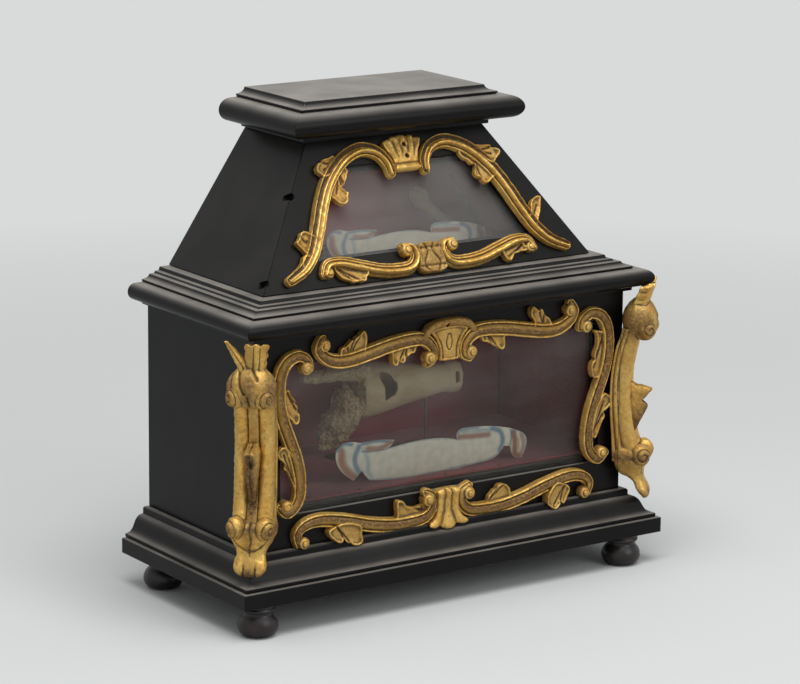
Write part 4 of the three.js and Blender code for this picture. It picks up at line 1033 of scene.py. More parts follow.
def makeScroll(level, side, look, leaves, section, place, seed):
    carving = newCarving(*look["box"])
    for leaf in leaves[side]:
        carveLeaf(carving, *leaf)
    carveBand(carving, look["path"], look["width"], look["height"], section, taper=look["taper"])
    for eye in look["eyes"]:
        carveEye(carving, *eye)
    finishCarving(f"{level}_{side}_carving", carving, place, seed, f"{level}_frame_scroll", side)


for side in ("left", "right"):
    makeScroll("lower", side, sideScroll, sideLeaves, lowerBand, onCase, 31)

# Upper frame on the roof's slope: two long scrolls, a nailed shell at the head and an apron
upperScroll = {
    "width": 13, "height": 10, "taper": 0.34, "box": ((8, 2.5, -0.5), (144, 121, 14)), "eyes": [],
    "path": [(17.2, 88), (18.6, 97), (26, 106.4), (38, 110.6), (50, 108.8), (64.6, 101), (80.2, 85.4), (91.4, 67),
             (100.8, 47), (110.6, 29), (122.4, 16.6), (137.4, 9)],
}
upperLeaves = {
    "left": [
        ([(68, 107.6), (74, 106.6), (79.5, 105.6), (81.6, 103.4), (84.4, 103.2), (86.2, 101.2), (87.6, 99.4),
          (87.8, 96), (85, 93.2), (80.5, 90.6), (70, 96)], (66, 101), [(81.6, 103.2), (80, 97)], (88, 97)),
        ([(58, 94.5), (60, 90.5), (61.4, 87.4), (63.4, 85.2), (65, 82.4), (68, 81), (66.4, 79.2), (65, 77.4),
          (63, 75.6), (64.8, 72.2), (66, 68.4), (70, 66), (74.4, 67.4), (77.8, 71), (81, 76), (78, 88), (66, 100)],
         (66, 98), [(67.6, 80.6), (64.6, 77), (74, 76)], (69, 66.4)),
        ([(104, 42), (108.6, 45.6), (112.8, 47.9), (117.2, 47.5), (119, 44.6), (121, 42), (123.9, 39.4), (122.4, 36.6),
          (119.4, 33), (117, 29.6), (112, 27), (104, 33)], (107, 32), [(119, 44), (113, 40)], (120, 46)),
        ([(117, 28.4), (121, 27), (123, 22), (122, 17.5), (116, 18), (111, 26)], (115, 21), [(120, 23)], (122.6, 27)),
    ],
    "right": [
        ([(72, 104), (79, 103.4), (84, 103.2), (86.8, 102.2), (88, 100), (91.4, 99.4), (94.8, 96.6), (93.2, 93.4),
          (90.4, 91.2), (84, 87), (72, 98)], (70, 99), [(87, 100.6), (86, 95)], (94, 97)),
        ([(54, 98.5), (57.2, 93.6), (60.8, 91.8), (63.4, 88.2), (66.6, 87.6), (65.8, 84), (64.2, 80), (65.8, 76.6),
          (69, 75.2), (70.4, 71.6), (74, 70), (78.3, 72.4), (83, 76.4), (80, 88), (66, 100), (56, 104)],
         (66, 99), [(66.4, 87.2), (66, 78), (70.4, 74)], (74, 70.4)),
        ([(110, 40), (112.4, 48.4), (114.6, 51.4), (118.3, 53.4), (123.3, 53.2), (122.4, 49), (120.8, 43), (118.6, 38),
          (112, 28), (106, 36)], (111, 34), [(118, 46)], (122.6, 53)),
    ],
}
for side in ("left", "right"):
    makeScroll("upper", side, upperScroll, upperLeaves, upperBand, onRoof, 41)

upperShell = {
    "half": [(0, 119.6), (3.4, 119), (5, 118), (8, 118.6), (11, 117.6), (12.4, 116.2), (15.4, 116), (18.8, 114.2),
             (17.6, 111), (15.8, 107.4), (13.3, 103), (12, 98), (11.6, 93), (11.4, 89)],
    "nails": [(1.8, 111), (1.8, 101)],
}


def nailedFace(x, y, inset):
    spread = 0.9 * np.sin(np.arctan2(x, y - 62) * 46) * rise(y, 98, 10)
    ledge = 1.3 * bell(y - 91, 1.9) - 1.6 * bell(y - 95, 0.9)
    return 6.4 + spread + ledge - 1.2 * np.exp(-inset / 0.9)


def makeUpperShell(look=upperShell):
    carving = newCarving((-22, 87, -0.5), (22, 121, 11))
    carvePlate(carving, bothHalves(look["half"]), nailedFace, 0.35)
    for nail in look["nails"]:
        boreNail(carving, nail, 1.7, 3.6)
    rough = dict(knife, waveDepth=0.2, chipDepth=0.1)
    finishCarving("upper_shell_carving", carving, onRoof, 51, "upper_frame_shell", look=rough)


makeUpperShell()

upperApron = {
    "width": 12, "height": 9, "eyes": [((22.6, 21.8), 5, 10.4), ((100.6, 11.6), 4.4, 8)], "foot": 0.6,
    "path": [(24, 25.6), (16.6, 23.4), (15, 15.4), (21, 8.6), (33, 7), (50, 8.6), (68, 13.6), (86, 18.8), (99, 18.4),
             (104.6, 11)],
    "shield": [(0, 27), (9, 26), (11.5, 20), (12.5, 12), (13.5, 5), (9, 1.2), (0, 0.7)],
}
upperApronLeaves = [
    ([(-94, 14), (-90, 6.6), (-85.6, 4), (-81.5, 2.6), (-79, 0.9), (-74, 1.6), (-71, 0.8), (-68, 1), (-66.4, 4.4),
      (-64, 6.4), (-66, 14), (-90, 18)], (-92, 15), [(-79, 1.4), (-71, 1)], (-68, 1)),
    ([(71, 13), (71.6, 6.6), (73, 3.6), (76.6, 1.6), (80.6, 4.6), (83, 6.8), (89, 8.6), (97, 9.6), (92, 17), (74, 16)],
     (93, 14), [(82, 6.4), (77, 6)], (76, 2)),
]


def scrolledShield(x, y, inset):
    curl = bell(np.abs(x) - 5 - 2.4 * np.sin((y - 3) / 3.6), 1.1)
    band = bell(y - 6.5) + bell(y - 22)
    return 7.2 + 0.8 * bell(inset - 1, 0.8) - 1.7 * curl - 1.2 * band - 1.2 * np.exp(-inset / 0.8)


def makeUpperApron(look=upperApron):
    carving = newCarving((-109, 0, -0.5), (109, 31, 13))
    carveScrolls(carving, upperApronLeaves, look, apronBand)
    carvePlate(carving, bothHalves(look["shield"]), scrolledShield, 0.75)
    carving["wood"] = np.maximum(carving["wood"], (look["foot"] - carving["axes"][1])[None, :, None])
    finishCarving("upper_apron_carving", carving, onRoof, 61, "upper_frame_apron")


makeUpperApron()

# Corner brackets: S-shaped consoles in the round. Here x is w, across the corner's diagonal, y is
# up and z is r, out along the diagonal. Outlines over height are (z, value). The right one's foot
# sits a little higher than the left one's. Clear says how far out from the corner the wood has to
# stay above each height, for the base moulding and the cornice.
bracket = {
    "step": 0.62, "foot": 50.4, "clear": [(0, 12.6), (56, 6.4), (63.1, 0.4), (236.2, 10.1), (240.8, 19.4)],
    "huskHalf": [(106, 2.4), (118, 3.4), (140, 5.4), (150, 6), (155, 4.6)],
    "face": [(78, 21), (88, 19.4), (96, 17.6), (104, 15), (112, 13.2), (124, 11.4), (140, 10), (156, 9.2), (170, 10),
             (182, 12), (190, 14), (200, 16), (212, 18)],
    "back": [(78, -4.6), (90, -4.8), (104, -5.6), (128, -7.2), (150, -7.8), (165, -7.2), (178, -5.6), (190, -3.4),
             (200, 0), (212, 2)],
    "roll": (10.2, 6.3), "panel": (4.1, 2.4), "half": 16.2,
    "calyx": {"at": (208, 14.8), "radii": (19.6, 18, 15)},
    "folds": [([(5, 233), (7.4, 222), (7, 212), (3.5, 204)], 2.4, 1.3), ([(-2, 230), (-3, 222), (-7, 215)], 1.6, 1.1),
              ([(0.4, 201), (0, 194), (0.6, 188)], 1.8, 1.0), ([(13, 222), (14.5, 210), (12, 199)], 1.2, 1.0)],
    "volutes": [(11.2, 200, 20.4, (8.4, 9.4, 9.6), 46), (12.2, 89.5, 19.2, (7.4, 9.6, 9), 55)],
    "husk": [(153.4, 6), (155, 14), (153.4, 23), (151.4, 26.6), (148, 24.4), (144, 21.4), (140.6, 18.6), (138.6, 21.4),
             (135.6, 23), (130, 21.8), (120, 17.6), (109, 13.2), (106, 5)],
    "leg": [(98, 5), (95, -1), (88, -2.4), (81, -2.4), (75, 0), (71.5, 3.5), (69.5, 8), (66.5, 12.3), (63, 14.6),
            (59, 16.7), (54, 19.8), (50.8, 22.6), (51.4, 25.4), (55, 26), (62, 23.6), (68, 20.6), (75, 21.4),
    (84, 22.8), (92, 18)], "legHalf": [(48, 8), (51, 10.6), (55, 13.6), (59, 14.6), (63, 13.6), (68, 12.2),
                (72, 12.8), (77, 15.2), (82, 17.6), (88, 18.6), (93, 18), (99, 16)],
    "lift": {"left": 0.0, "right": 6.0}, "headLift": {"left": -3.0, "right": 5.5},
    "neck": {"left": 220, "right": 226}, "tip": {"left": 242.4, "right": 245.8},
}


def overHeight(points, z):
    smooth = curveThrough(points, spacing=1)
    return np.interp(z, smooth[:, 0], smooth[:, 1])


def footLift(z, lift):
    low = np.clip((150 - z) / 42, 0, 1)
    return z - lift * low * low * (3 - 2 * low)


# A volute's snail, seen along an axis that leans forward from the bracket's flank
def snail(w, z, r, spec):
    atW, atZ, atR, radii, lean = spec
    sine, cosine = math.sin(math.radians(lean)), math.cos(math.radians(lean))
    outW, outZ, outR = np.abs(w) - atW, z - atZ, r - atR
    ball = (np.sqrt(sum((out / radius) ** 2 for out, radius in zip((outW, outZ, outR), radii))) - 1) * min(radii)
    side = outR * sine - outW * cosine
    reach = np.hypot(outZ, side)
    turn = np.arctan2(side, outZ) / (2 * math.pi)
    pitch = radii[1] * 0.42
    groove = bell(((reach / pitch - turn) % 1 - 0.5) * pitch, 0.62) * ((outW * sine + outR * cosine) > 0)
    return ball + 1.25 * groove * np.clip(reach / 1.5 - 0.4, 0, 1) * np.clip((radii[1] + 0.6 - reach) / 1.2, 0, 1)


# The body: a roll along each front edge, a raised panel between them and a bead along the flank
def bracketBody(look, across, z, r, flatZ):
    face, back = (overHeight(look[key], flatZ)[:, :, None] for key in ("face", "back"))
    centre, radius = look["roll"]
    deep, behind = face - back, r - face
    roll = (np.hypot((across - centre) / radius, (behind + 7.6) / 7.6) - 1) * radius
    panel = softMax(across - look["panel"][0], behind + look["panel"][1], 0.6)
    bead = np.hypot(across - 15.3, behind + 0.72 * deep) - 1.9
    core = np.maximum(across - 14.8, behind + 4.6)
    flank = np.maximum(across - look["half"], behind + 0.87 * deep)
    wood = softMin(softMin(roll, panel, 0.3), softMin(core, softMin(bead, flank, 0.3), 0.3), 0.3)
    return softMax(softMax(wood, back - r, 1), np.maximum(84 - z, z - 206), 1)


# The head: a bulging calyx with folds
def bracketHead(look, w, headZ, r, flatHead):
    (atZ, atR), power = look["calyx"]["at"], 2.3
    shrink = 1 - 0.5 * rise(headZ, atZ, 24) ** 1.6
    axes = zip((w / shrink, headZ - atZ, (r - atR) / shrink), look["calyx"]["radii"])
    form = (sum(np.abs(axis / size) ** power for axis, size in axes) ** (1 / power) - 1) * 14.5 * shrink
    flatW = np.broadcast_to(w[:, :, 0], flatHead.shape)
    for line, depth, width in look["folds"]:
        fold = bell(lineDistance(flatW, flatHead, curveThrough(line, spacing=2)), width)
        form = form + depth * fold[:, :, None] * rise(r, 12, 6)
    return form


# The foot: a clawed leg with toes, a cleft and a brow
def bracketLeg(look, leg, w, z, r, flatZ):
    legHalf = overHeight(look["legHalf"], flatZ)[:, :, None]
    form = softMax(leg, np.abs(w) - legHalf + 0.12 * np.clip(r - 12, 0, 12), 4.5)
    toes = 1.7 * bell(np.abs(w) - 4.8, 0.9) * np.clip((63 - z) / 6, 0, 1)
    cleft = 1.5 * bell(w + 0.8 * np.sin(z / 3), 1.1) * rise(z, 66, 6)
    brow = 1.2 * bell(z - 71 - 0.05 * w * w, 1.6)
    return form + (toes + cleft + brow) * rise(r, 8, 5)


# The tip: a leaning spike on one side and a broad leaf on the other
def bracketTip(wood, w, z, r, neck, tip):
    t = np.clip((z - neck) / (tip - neck), 0, 1)
    spikeW, spikeR = w - 5 - 13 * t, r - 16 - 9.5 * t ** 1.2
    spike = (np.hypot(spikeW / (5.8 - 4.2 * t), spikeR / (6.4 - 4.2 * t)) - 1) * (3.8 - 2.6 * t)
    spike = softMax(spike + 0.8 * bell(spikeW, 0.9) * (spikeR > 0), np.maximum(z - tip, neck - 6 - z), 0.6)
    s = np.clip((z - neck) / (tip - neck - 1.5), 0, 1)
    broadW, broadR = w + 3.4 + 2.4 * s, r - 16.4 - 7 * s ** 1.1
    half = 7.6 + 1.6 * s + 0.5 * np.sin(s * 17)
    broad = softMax(np.abs(broadW) - half, np.abs(broadR + 0.03 * broadW ** 2) - 5.6 + 0.6 * s, 1.8)
    broad = broad + 0.9 * (bell(broadW - 1, 0.8) + bell(broadW + 4, 0.7)) * (broadR > 0)
    brim = tip - 1.5 + 0.9 * np.cos(broadW * 0.9) - 0.22 * np.clip(28 - r, 0, 14)
    broad = softMax(broad, np.maximum(z - brim, neck - 6 - z), 0.7)
    return softMin(softMin(wood, spike, 0.7), broad, 0.7)


def makeBracket(side, look=bracket):
    carving = newCarving((-26, 46, -11), (26, 251, 36), look["step"])
    w, trueZ, r = np.meshgrid(*carving["axes"], indexing="ij", sparse=True)
    z, across = footLift(trueZ, look["lift"][side]), np.abs(w)
    headZ, flatZ = z - look["headLift"][side], z[:, :, 0]
    flatW = np.broadcast_to(w[:, :, 0], (w.shape[0], z.shape[1]))
    planeZ = np.broadcast_to(flatZ, flatW.shape)
    flatHead = planeZ - look["headLift"][side]
    up, out = np.meshgrid(*carving["axes"][1:], indexing="ij")
    leg, husk = (outlineDistance(footLift(up, look["lift"][side]), out, curveThrough(look[key], True, 1))[None]
                 for key in ("leg", "husk"))
    wood = softMin(bracketBody(look, across, z, r, flatZ), bracketHead(look, w, headZ, r, flatHead), 0.9)
    wood = softMin(wood, bracketLeg(look, leg, w, z, r, flatZ), 1.2)
    for spec, height in zip(look["volutes"], (headZ, z)):
        wood = softMin(wood, snail(w, height, r, spec), 0.5)
    thick = np.interp(flatZ, *zip(*look["huskHalf"]))[:, :, None]
    husk = softMax(husk + 0.9 * bell(w, 0.9), across - thick + 0.1 * np.clip(r - 10, 0, 14), 2.4)
    wood = bracketTip(softMin(wood, husk, 0.4), w, trueZ, r, look["neck"][side], look["tip"][side])
    clear = np.zeros(trueZ.shape)
    for above, reach in look["clear"]:
        clear = np.where(trueZ > above, reach, clear)
    wood = np.maximum(np.maximum(wood, clear - (across + r) / 2 ** 0.5), look["foot"] - trueZ)
    carving["wood"] = wood.astype(np.float32)
    head = np.clip(1.6 - np.abs(flatHead - 206) / 13, 0, 1)
    husked = np.clip(1 - np.abs(flatW) / 7, 0, 1) * np.clip((153 - planeZ) / 5, 0, 1) * rise(planeZ, 92, 12)
    claws = 0.7 * np.clip((60 - planeZ) / 8, 0, 1) + 0.5 * np.clip(1 - np.abs(planeZ - 88) / 9, 0, 1)
    carving["tone"] = np.clip(0.5 - 0.4 * bell(np.abs(flatW) - 9, 4.5) + 0.38 * head + 0.95 * husked + claws, 0, 1)
    rough = dict(knife, waveDepth=0.18, hollowMm=0.2)
    finishCarving(f"{side}_bracket_carving", carving, onCorner, 71, "corner_bracket", side, rough, None)


makeBracket("left")
makeBracket("right")
print("gilt carved")


# Boards: the case, the roof, the cap and the doors, squared and glued, with eased arrises
boards = {
    "ebony": ["plinth_slab", "case_front", "case_top", "lower_glazing_bead", "cornice_back", "roof_front",
              "upper_glazing_bead", "cap_core", "cap_lid"],
    "ebonyDeep": ["roof_side_left", "roof_side_right"],
    "ebonyUpright": ["case_side_left", "case_side_right"],
}


# Peg holes left open along the left hip, as slope coordinates with their radius and slant
pegs = {
    "holes": [(-114.7, 79.2), (-157.9, 11)], "radius": 3.4, "depth": 9, "sides": 24,
    "boards": ("roof_front", "roof_side_left"),
}


def pegCutter(x, up, look=pegs):
    radius = look["radius"]
    angles = np.linspace(0, 2 * math.pi, look["sides"] + 1)[:-1]
    rings = [onRoof(np.array([(x + radius * math.cos(a), up + radius * math.sin(a), out) for a in angles]))
             for out in (-look["depth"], 3)]
    return outward(newPiece("pegCutter", np.concatenate(rings), capped(2, look["sides"]), "ebony", 35))


def bore(piece, cutters):
    for cutter in cutters:
        cut = piece.modifiers.new("bore", "BOOLEAN")
        cut.operation, cut.object = "DIFFERENCE", cutter
    bake(piece)
    for cutter in cutters:
        bpy.data.objects.remove(cutter)
    piece.data.set_sharp_from_angle(angle=math.radians(20))
    flatShaded(piece)


for finish, nodes in boards.items():
    for node in nodes:
        board = easedBoard(node, finish)
        if node in pegs["boards"]:
            bore(board, [pegCutter(*hole) for hole in pegs["holes"]])
        settle(board, "casket", "ebonised_wood", node)
for node in ("lower_door", "upper_door"):
    settle(easedBoard(node, "ebony", 0.9), node, "ebonised_wood", node)
settle(easedBoard("case_floor", "poplar", 0.5), "casket", "inner_wood", "case_floor")
print("boards squared")

# Bun feet, turned: a flattened ball under a small neck and collar
feet = {
    "places": {"foot_front_left": (-189, -12), "foot_front_right": (178, -12), "foot_back_left": (-187, 139),
               "foot_back_right": (178, 139)},
    "profile": [(0, 0), (9.2, 0), (10.6, 0.3), (13.4, 1.5), (15.4, 3.8), (16.5, 7), (16.6, 9.4), (16, 12.2),
                (14.6, 14.9), (12.8, 17), (12, 18.2), (11.7, 19.4), (11.9, 20.2), (12.9, 20.5), (13.9, 21),
                (14.4, 21.9), (14.4, 22.7), (13.9, 23.6), (13.4, 24.1), (13.3, 25.7), (5.5, 25.7), (5.5, 35.6),
    (0, 35.6)], "segments": 64,
}
for node, (x, y) in feet["places"].items():
    foot = turnedSolid(node + "_turned", feet["profile"], feet["segments"], "foot", lambda p: p + np.array([x, y, 0]))
    settle(foot, "casket", "turned_wood", node)
print("feet turned")

# Panes: drawn glass, slightly wavy, with ground edges
for node in ("lower_glass", "upper_glass"):
    pane = linkMesh(node + "_pane", meshOf(easedSolid(node, 0.4, 2), node + "_pane"), "glass", 28)
    settle(pane, "casket", "window_glass", node)


# Linings: cloth glued over card round each chamber. A closed strip is lofted from fine rings that
# run back along the cloth and forward again along the card, so that the cloth can ripple.
linings = {
    "card": 1.4, "step": 4, "ripple": 0.12, "rippleMm": 26, "proud": 0.15, "back": 155.4,
    "doorFront": 156.25, "doorBack": 157.6, "tuck": 0.35,
    "lower": [(-169.6, 95.9), (169.6, 95.9), (169.6, 234.3), (-169.6, 234.3)],
    "upper": [(-149.6, 252.4), (149.6, 252.4), (149.6, 265.9), (76.9, 374.1), (-76.9, 374.1), (-149.6, 265.9)],
    "lowerDoor": [(-168.7, 95), (168.7, 95), (168.7, 232.2), (-168.7, 232.2)],
    "upperDoor": [(-144.3, 269.4), (144.3, 269.4), (74.3, 372), (-74.3, 372)],
}


def finelyStepped(corners, step):
    points = []
    for a, b in zip(corners, corners[1:] + corners[:1]):
        a, b = np.array(a, float), np.array(b, float)
        count = max(1, int(np.linalg.norm(b - a) / step))
        points += [a + (b - a) * t for t in np.linspace(0, 1, count, endpoint=False)]
    return np.array(points)


def liningStrip(node, corners, frontAt, seed, look=linings):
    inner, back = finelyStepped(corners, look["step"]), look["back"]
    front = np.array([frontAt(z) for z in inner[:, 1]])
    run = np.roll(inner, -1, axis=0) - np.roll(inner, 1, axis=0)
    normal = np.stack([run[:, 1], -run[:, 0]], axis=1)
    normal /= np.linalg.norm(normal, axis=1)[:, None]
    normal *= np.sign((normal * (inner - inner.mean(axis=0))).sum(axis=1))[:, None]
    deep = np.stack([normal[:, 0], np.zeros(len(normal)), normal[:, 1]], axis=1)
    depths = np.linspace(0, 1, int((back - front.min()) / look["step"]))
    rings = []
    outer = inner + normal * look["card"]
    for loop, sign, t in [(inner, 1, t) for t in depths] + [(outer, 0, t) for t in depths[::-1]]:
        points = np.stack([loop[:, 0], front + (back - front) * t, loop[:, 1]], axis=1)
        push = look["ripple"] * unevenness(points, look["rippleMm"], seed) * sign
        rings.append(points + deep * (push[:, None] - look["proud"] * sign))
    piece = pierced(node + "_cloth", rings, "cloth")
    settle(piece, "casket", "lining_cloth", node)


def roofInside(z, roof=roofLean, board=11.8):
    return roof["footY"] + (max(z, roof["footZ"]) - roof["footZ"]) * math.tan(math.radians(roof["degrees"])) + board


liningStrip("lower_lining", linings["lower"], lambda z: 14.0, 81)
liningStrip("upper_lining", linings["upper"], roofInside, 82)


def doorPanel(node, body, corners, seed, look=linings):
    a, b, c, d = (np.array(corner, float) for corner in corners)
    across, up = (int(np.linalg.norm(end - a) / look["step"]) for end in (b, d))
    points = []
    for t in (j / up for j in range(up + 1)):
        for s in (i / across for i in range(across + 1)):
            x, z = (1 - t) * ((1 - s) * a + s * b) + t * ((1 - s) * d + s * c)
            points.append((x, 0, z))
    points = np.array(points)
    count, grid = len(points), np.arange(len(points)).reshape(up + 1, across + 1)
    rim = [*grid[0, :-1], *grid[:-1, -1], *grid[-1, :0:-1], *grid[:0:-1, 0]]
    edge = np.zeros(count)
    edge[rim] = 1
    ripple = look["ripple"] * unevenness(points, look["rippleMm"], seed) * (1 - edge) + look["tuck"] * edge
    front = points + np.array([0, look["doorFront"], 0]) + np.stack([edge * 0, ripple, edge * 0], axis=1)
    quads = [(grid[j, i], grid[j, i + 1], grid[j + 1, i + 1], grid[j + 1, i]) for j in range(up) for i in range(across)]
    faces = quads + [tuple(count + v for v in quad[::-1]) for quad in quads]
    faces += [(p, count + p, count + q, q) for p, q in zip(rim, rim[1:] + rim[:1])]
    points = np.concatenate([front, points + np.array([0, look["doorBack"], 0])])
    piece = outward(newPiece(node + "_cloth", points, faces, "cloth", 60))
    settle(piece, body, "lining_cloth", node)


doorPanel("lower_door_lining", "lower_door", linings["lowerDoor"], 83)
doorPanel("upper_door_lining", "upper_door", linings["upperDoor"], 84)
print("chambers lined")

# Relics: dry bone, hollow where the marrow was, torn at the ends, one hole broken through its wall
relic = {
    "ends": (-74, 93), "heights": (103.9, 176.6),
    "depth": 110, "height": 151, "flat": 0.72, "wall": 3.0,
    "shaft": [(-18, 20.6), (-12, 23.6), (-8, 24), (8, 22.6), (36, 17.6), (60, 14), (75, 12.4), (76.6, 12.4), (78, 13.5),
              (84, 13.8), (90.4, 13.5)],
    "prong": [(-72, 2), (-69, 3.6), (-62, 5), (-46, 5.4), (-32, 5.8), (-10, 8.6)],
    "lumps": [(-25, 1, 135, 12, 13, 21), (-34, 2, 122, 13, 13, 15), (-43, 3, 113, 8, 9, 9), (-48, 3, 108, 4, 6, 5)],
    "hole": [(2, 167.4), (8, 167), (13, 163.4), (15.4, 160), (18.4, 156.4), (18.6, 151), (16, 147.6), (12, 145.8),
             (7.4, 143.4), (5.2, 145), (4.8, 151), (3.4, 157), (1, 162)],
    "slot": [(82.7, 148.6), (82.5, 155), (83.4, 157), (85.2, 157.4), (86.4, 156), (86.6, 149), (85.8, 147.8),
    (83.6, 147.6)], "step": 0.72,
}


def boneGrid(spans, step):
    axes = [np.arange(a, b, step) for a, b in spans]
    grid = np.meshgrid(*axes, indexing="ij")
    return axes, grid, np.stack([axis.ravel() for axis in grid], axis=1)


def finishBone(name, wood, axes, step, spongyAt, place, node):
    points, quads = skinOf(wood.astype(np.float32), np.array([axis[0] for axis in axes]), step)
    points = smoothed(points, quads, (0.5, -0.5))
    spongy = spongyAt(points)
    push = 0.36 * unevenness(points, 3.2, 91) * (0.15 + spongy) + 0.14 * unevenness(points, 1.5, 92) * spongy
    points = points + skinNormals(points, quads) * np.minimum(push, 0.4)[:, None]
    piece = newPiece(name, place(points), quads, "bone", None, {"spongy": spongy})
    print(f"{name} shaped, {2 * len(quads)} triangles")
    settle(piece, "casket", "bone", node)


def makeLowerRelic(look=relic):
    axes, (x, y, z), points = boneGrid(((-75, 94), (-19, 19), (103, 177)), look["step"])
    torn = (unevenness(points, 9, 95) + 0.6 * unevenness(points, 4, 96)).reshape(x.shape)
    reach = np.hypot(y / look["flat"], z - look["height"])
    radius, prong = (np.interp(x, *zip(*look[key])) for key in ("shaft", "prong"))
    wood = softMax(reach - radius, np.maximum(-15.5 - x + 1.6 * torn, x - 90.4 + 0.4 * torn), 0.8)
    marrow = softMax(reach - radius + look["wall"] + 0.5 * torn, -14 - x, 1)
    wood = softMax(wood, -marrow, 0.6)
    for atX, atY, atZ, *radii in look["lumps"]:
        away = np.sqrt(((x - atX) / radii[0]) ** 2 + ((y - atY) / radii[1]) ** 2 + ((z - atZ) / radii[2]) ** 2)
        wood = softMin(wood, (away - 1) * min(radii) + 0.9 * torn, 3)
    stick = np.hypot((y + 3) / 1.3, z - 169.4) - prong + 0.5 * torn
    wood = softMin(wood, softMax(stick, np.maximum(-71.5 - x, x + 8), 1), 2)
    hole, slot = (outlineDistance(x[:, 0, :], z[:, 0, :], curveThrough(look[key], True, 1))[:, None, :]
                  for key in ("hole", "slot"))
    wood = softMax(wood, -hole + 0.35 * torn, 0.5)
    wood = softMax(wood, -np.maximum(slot, y + 2), 0.4)
    (left, right), (low, high) = look["ends"], look["heights"]
    wood = softMax(wood, np.maximum(np.maximum(left - x, x - right), np.maximum(low - z, z - high)), 0.4)

    def spongyAt(points):
        bx, by, bz = points.T
        inLump = np.clip((-17 - bx) / 5, 0, 1) * np.clip((161 - bz) / 6, 0, 1)
        return np.maximum(inLump, 0.6 * np.clip((-12.5 - bx) / 3, 0, 1))

    def place(points):
        return points + np.array([0, look["depth"], 0])

    finishBone("lower_relic_bone", wood, axes, look["step"], spongyAt, place, "relic_bone")


upperRelic = {
    "back": -0.2, "left": -0.85, "at": (122, 134, 252.9), "step": 0.6,
    "shaft": [(0, 7.4), (1, 8), (5, 9), (9, 8.6), (18, 6), (40, 5.2), (58, 5.6), (64, 7.4), (68, 6)],
}


def makeUpperRelic(look=upperRelic):
    axes, (x, y, z), points = boneGrid(((-11, 14), (-11, 11), (-1.5, 81)), look["step"])
    torn = unevenness(points, 6, 97).reshape(x.shape)
    reach = np.hypot(x, y)
    wood = softMax(reach - np.interp(z, *zip(*look["shaft"])), np.maximum(0.2 - z, z - 68), 0.8)
    knuckle = np.sqrt((x - 3) ** 2 + y ** 2 + (z - 70) ** 2) - 8.4
    wood = softMin(wood, knuckle + 1.2 * bell(x - 4, 1.6) * (z > 68), 2)
    wood = softMax(wood, -softMax(reach - 4.6 + 0.5 * torn, z - 9, 1), 0.6)
    lean = Matrix.Rotation(look["back"], 3, "X") @ Matrix.Rotation(look["left"], 3, "Y")

    def place(points):
        turned = points @ np.array(lean).T
        turned[:, 2] -= turned[:, 2].min()
        return turned + np.array(look["at"])

    def spongyAt(points):
        return np.maximum(np.clip((4 - points[:, 2]) / 4, 0, 1), 0.5 * rise(points[:, 2], 66, 6))

    finishBone("upper_relic_bone", wood, axes, look["step"], spongyAt, place, "upper_relic")


makeLowerRelic()
makeUpperRelic()

# Cards cut out as curling ribbons and painted to look round: a wash is a line with a width, a
# colour and a strength. The writing on them is left out.
ribbon = {
    "curves": [
        ((-74, 5), (-95, 18), (-91, 33)), ((-91, 33), (-84, 42), (-68, 36)), ((-68, 36), (-48, 37), (-34, 34)),
        ((-34, 34), (-36, 28), (-44, 27)), ((-44, 27), (5, 34), (30, 25)), ((30, 25), (26, 36), (44, 34)),
        ((44, 34), (78, 32), (96, 23)), ((96, 23), (108, 16), (97, 0)), ((97, 0), (86, -1), (85, 12)),
        ((85, 12), (81.5, 12.5), (78, 13)), ((78, 13), (74, 4), (60, 2)),
    ],
    "tail": [((20, 0.6), (-30, -2), (-58, 3)), ((-58, 3), (-62, 7.5), (-66, 12)), ((-66, 12), (-70, 8.5), (-74, 5))],
    "thick": 0.8, "gridMm": 1.1,
    "washes": [
        ([(-86, 31), (-86, 22), (-79, 12), (-73, 8)], 3.6, "#b9836f", 0.95),
        ([(-83, 30), (-81, 20), (-74, 12)], 1.2, "#e0b79a", 0.7),
        ([(-90, 33), (-84, 37.5), (-76, 36)], 1.8, "#7f9fc0", 0.9),
        ([(-69, 33), (-73, 24), (-71, 15), (-66, 9)], 2.6, "#7c9cbd", 0.9),
        ([(-64, 30), (-60, 20), (-60, 10), (-56, 6)], 2.2, "#bcd0df", 0.8),
        ([(-66, 35), (-50, 35.4), (-36, 33)], 1.6, "#7898bb", 0.9),
        ([(-60, 30.4), (-48, 29), (-40, 31), (-36, 32)], 2.4, "#b5806d", 0.9),
        ([(-66, 28.5), (-52, 27), (-44, 27.4)], 0.7, "#5f6d80", 0.8),
        ([(31, 26), (31, 31), (38, 33.4), (52, 33)], 1.2, "#7d9dc0", 0.85),
        ([(32, 27), (46, 26), (62, 25)], 2.6, "#b07968", 0.9),
        ([(36, 31), (50, 30.4), (64, 29)], 1.8, "#a9bfcf", 0.7),
        ([(66, 30), (74, 26), (77, 18), (74, 10)], 2.4, "#7494b8", 0.9),
        ([(88, 24), (90, 14), (90, 4), (95, 2)], 3.2, "#a9705f", 0.95),
        ([(96, 21), (99, 12), (96, 3)], 2.2, "#c99a84", 0.85),
        ([(93, 16), (93.4, 8)], 1.6, "#d9c29c", 0.9),
        ([(84, 26), (96, 22.6), (102, 13), (98, 1)], 0.8, "#8aa3bd", 0.8),
        ([(85, 13), (86, 24)], 0.8, "#6b7c92", 0.8),
        ([(-60, 3.4), (-20, 0), (20, 0.8), (60, 2.8), (74, 8)], 1.1, "#8fa2b2", 0.8),
        ([(-44, 27), (-10, 30), (20, 27.6), (30, 25)], 0.9, "#a3b0ba", 0.7),
    ],
    "sheet": "#fbf8f0",
}


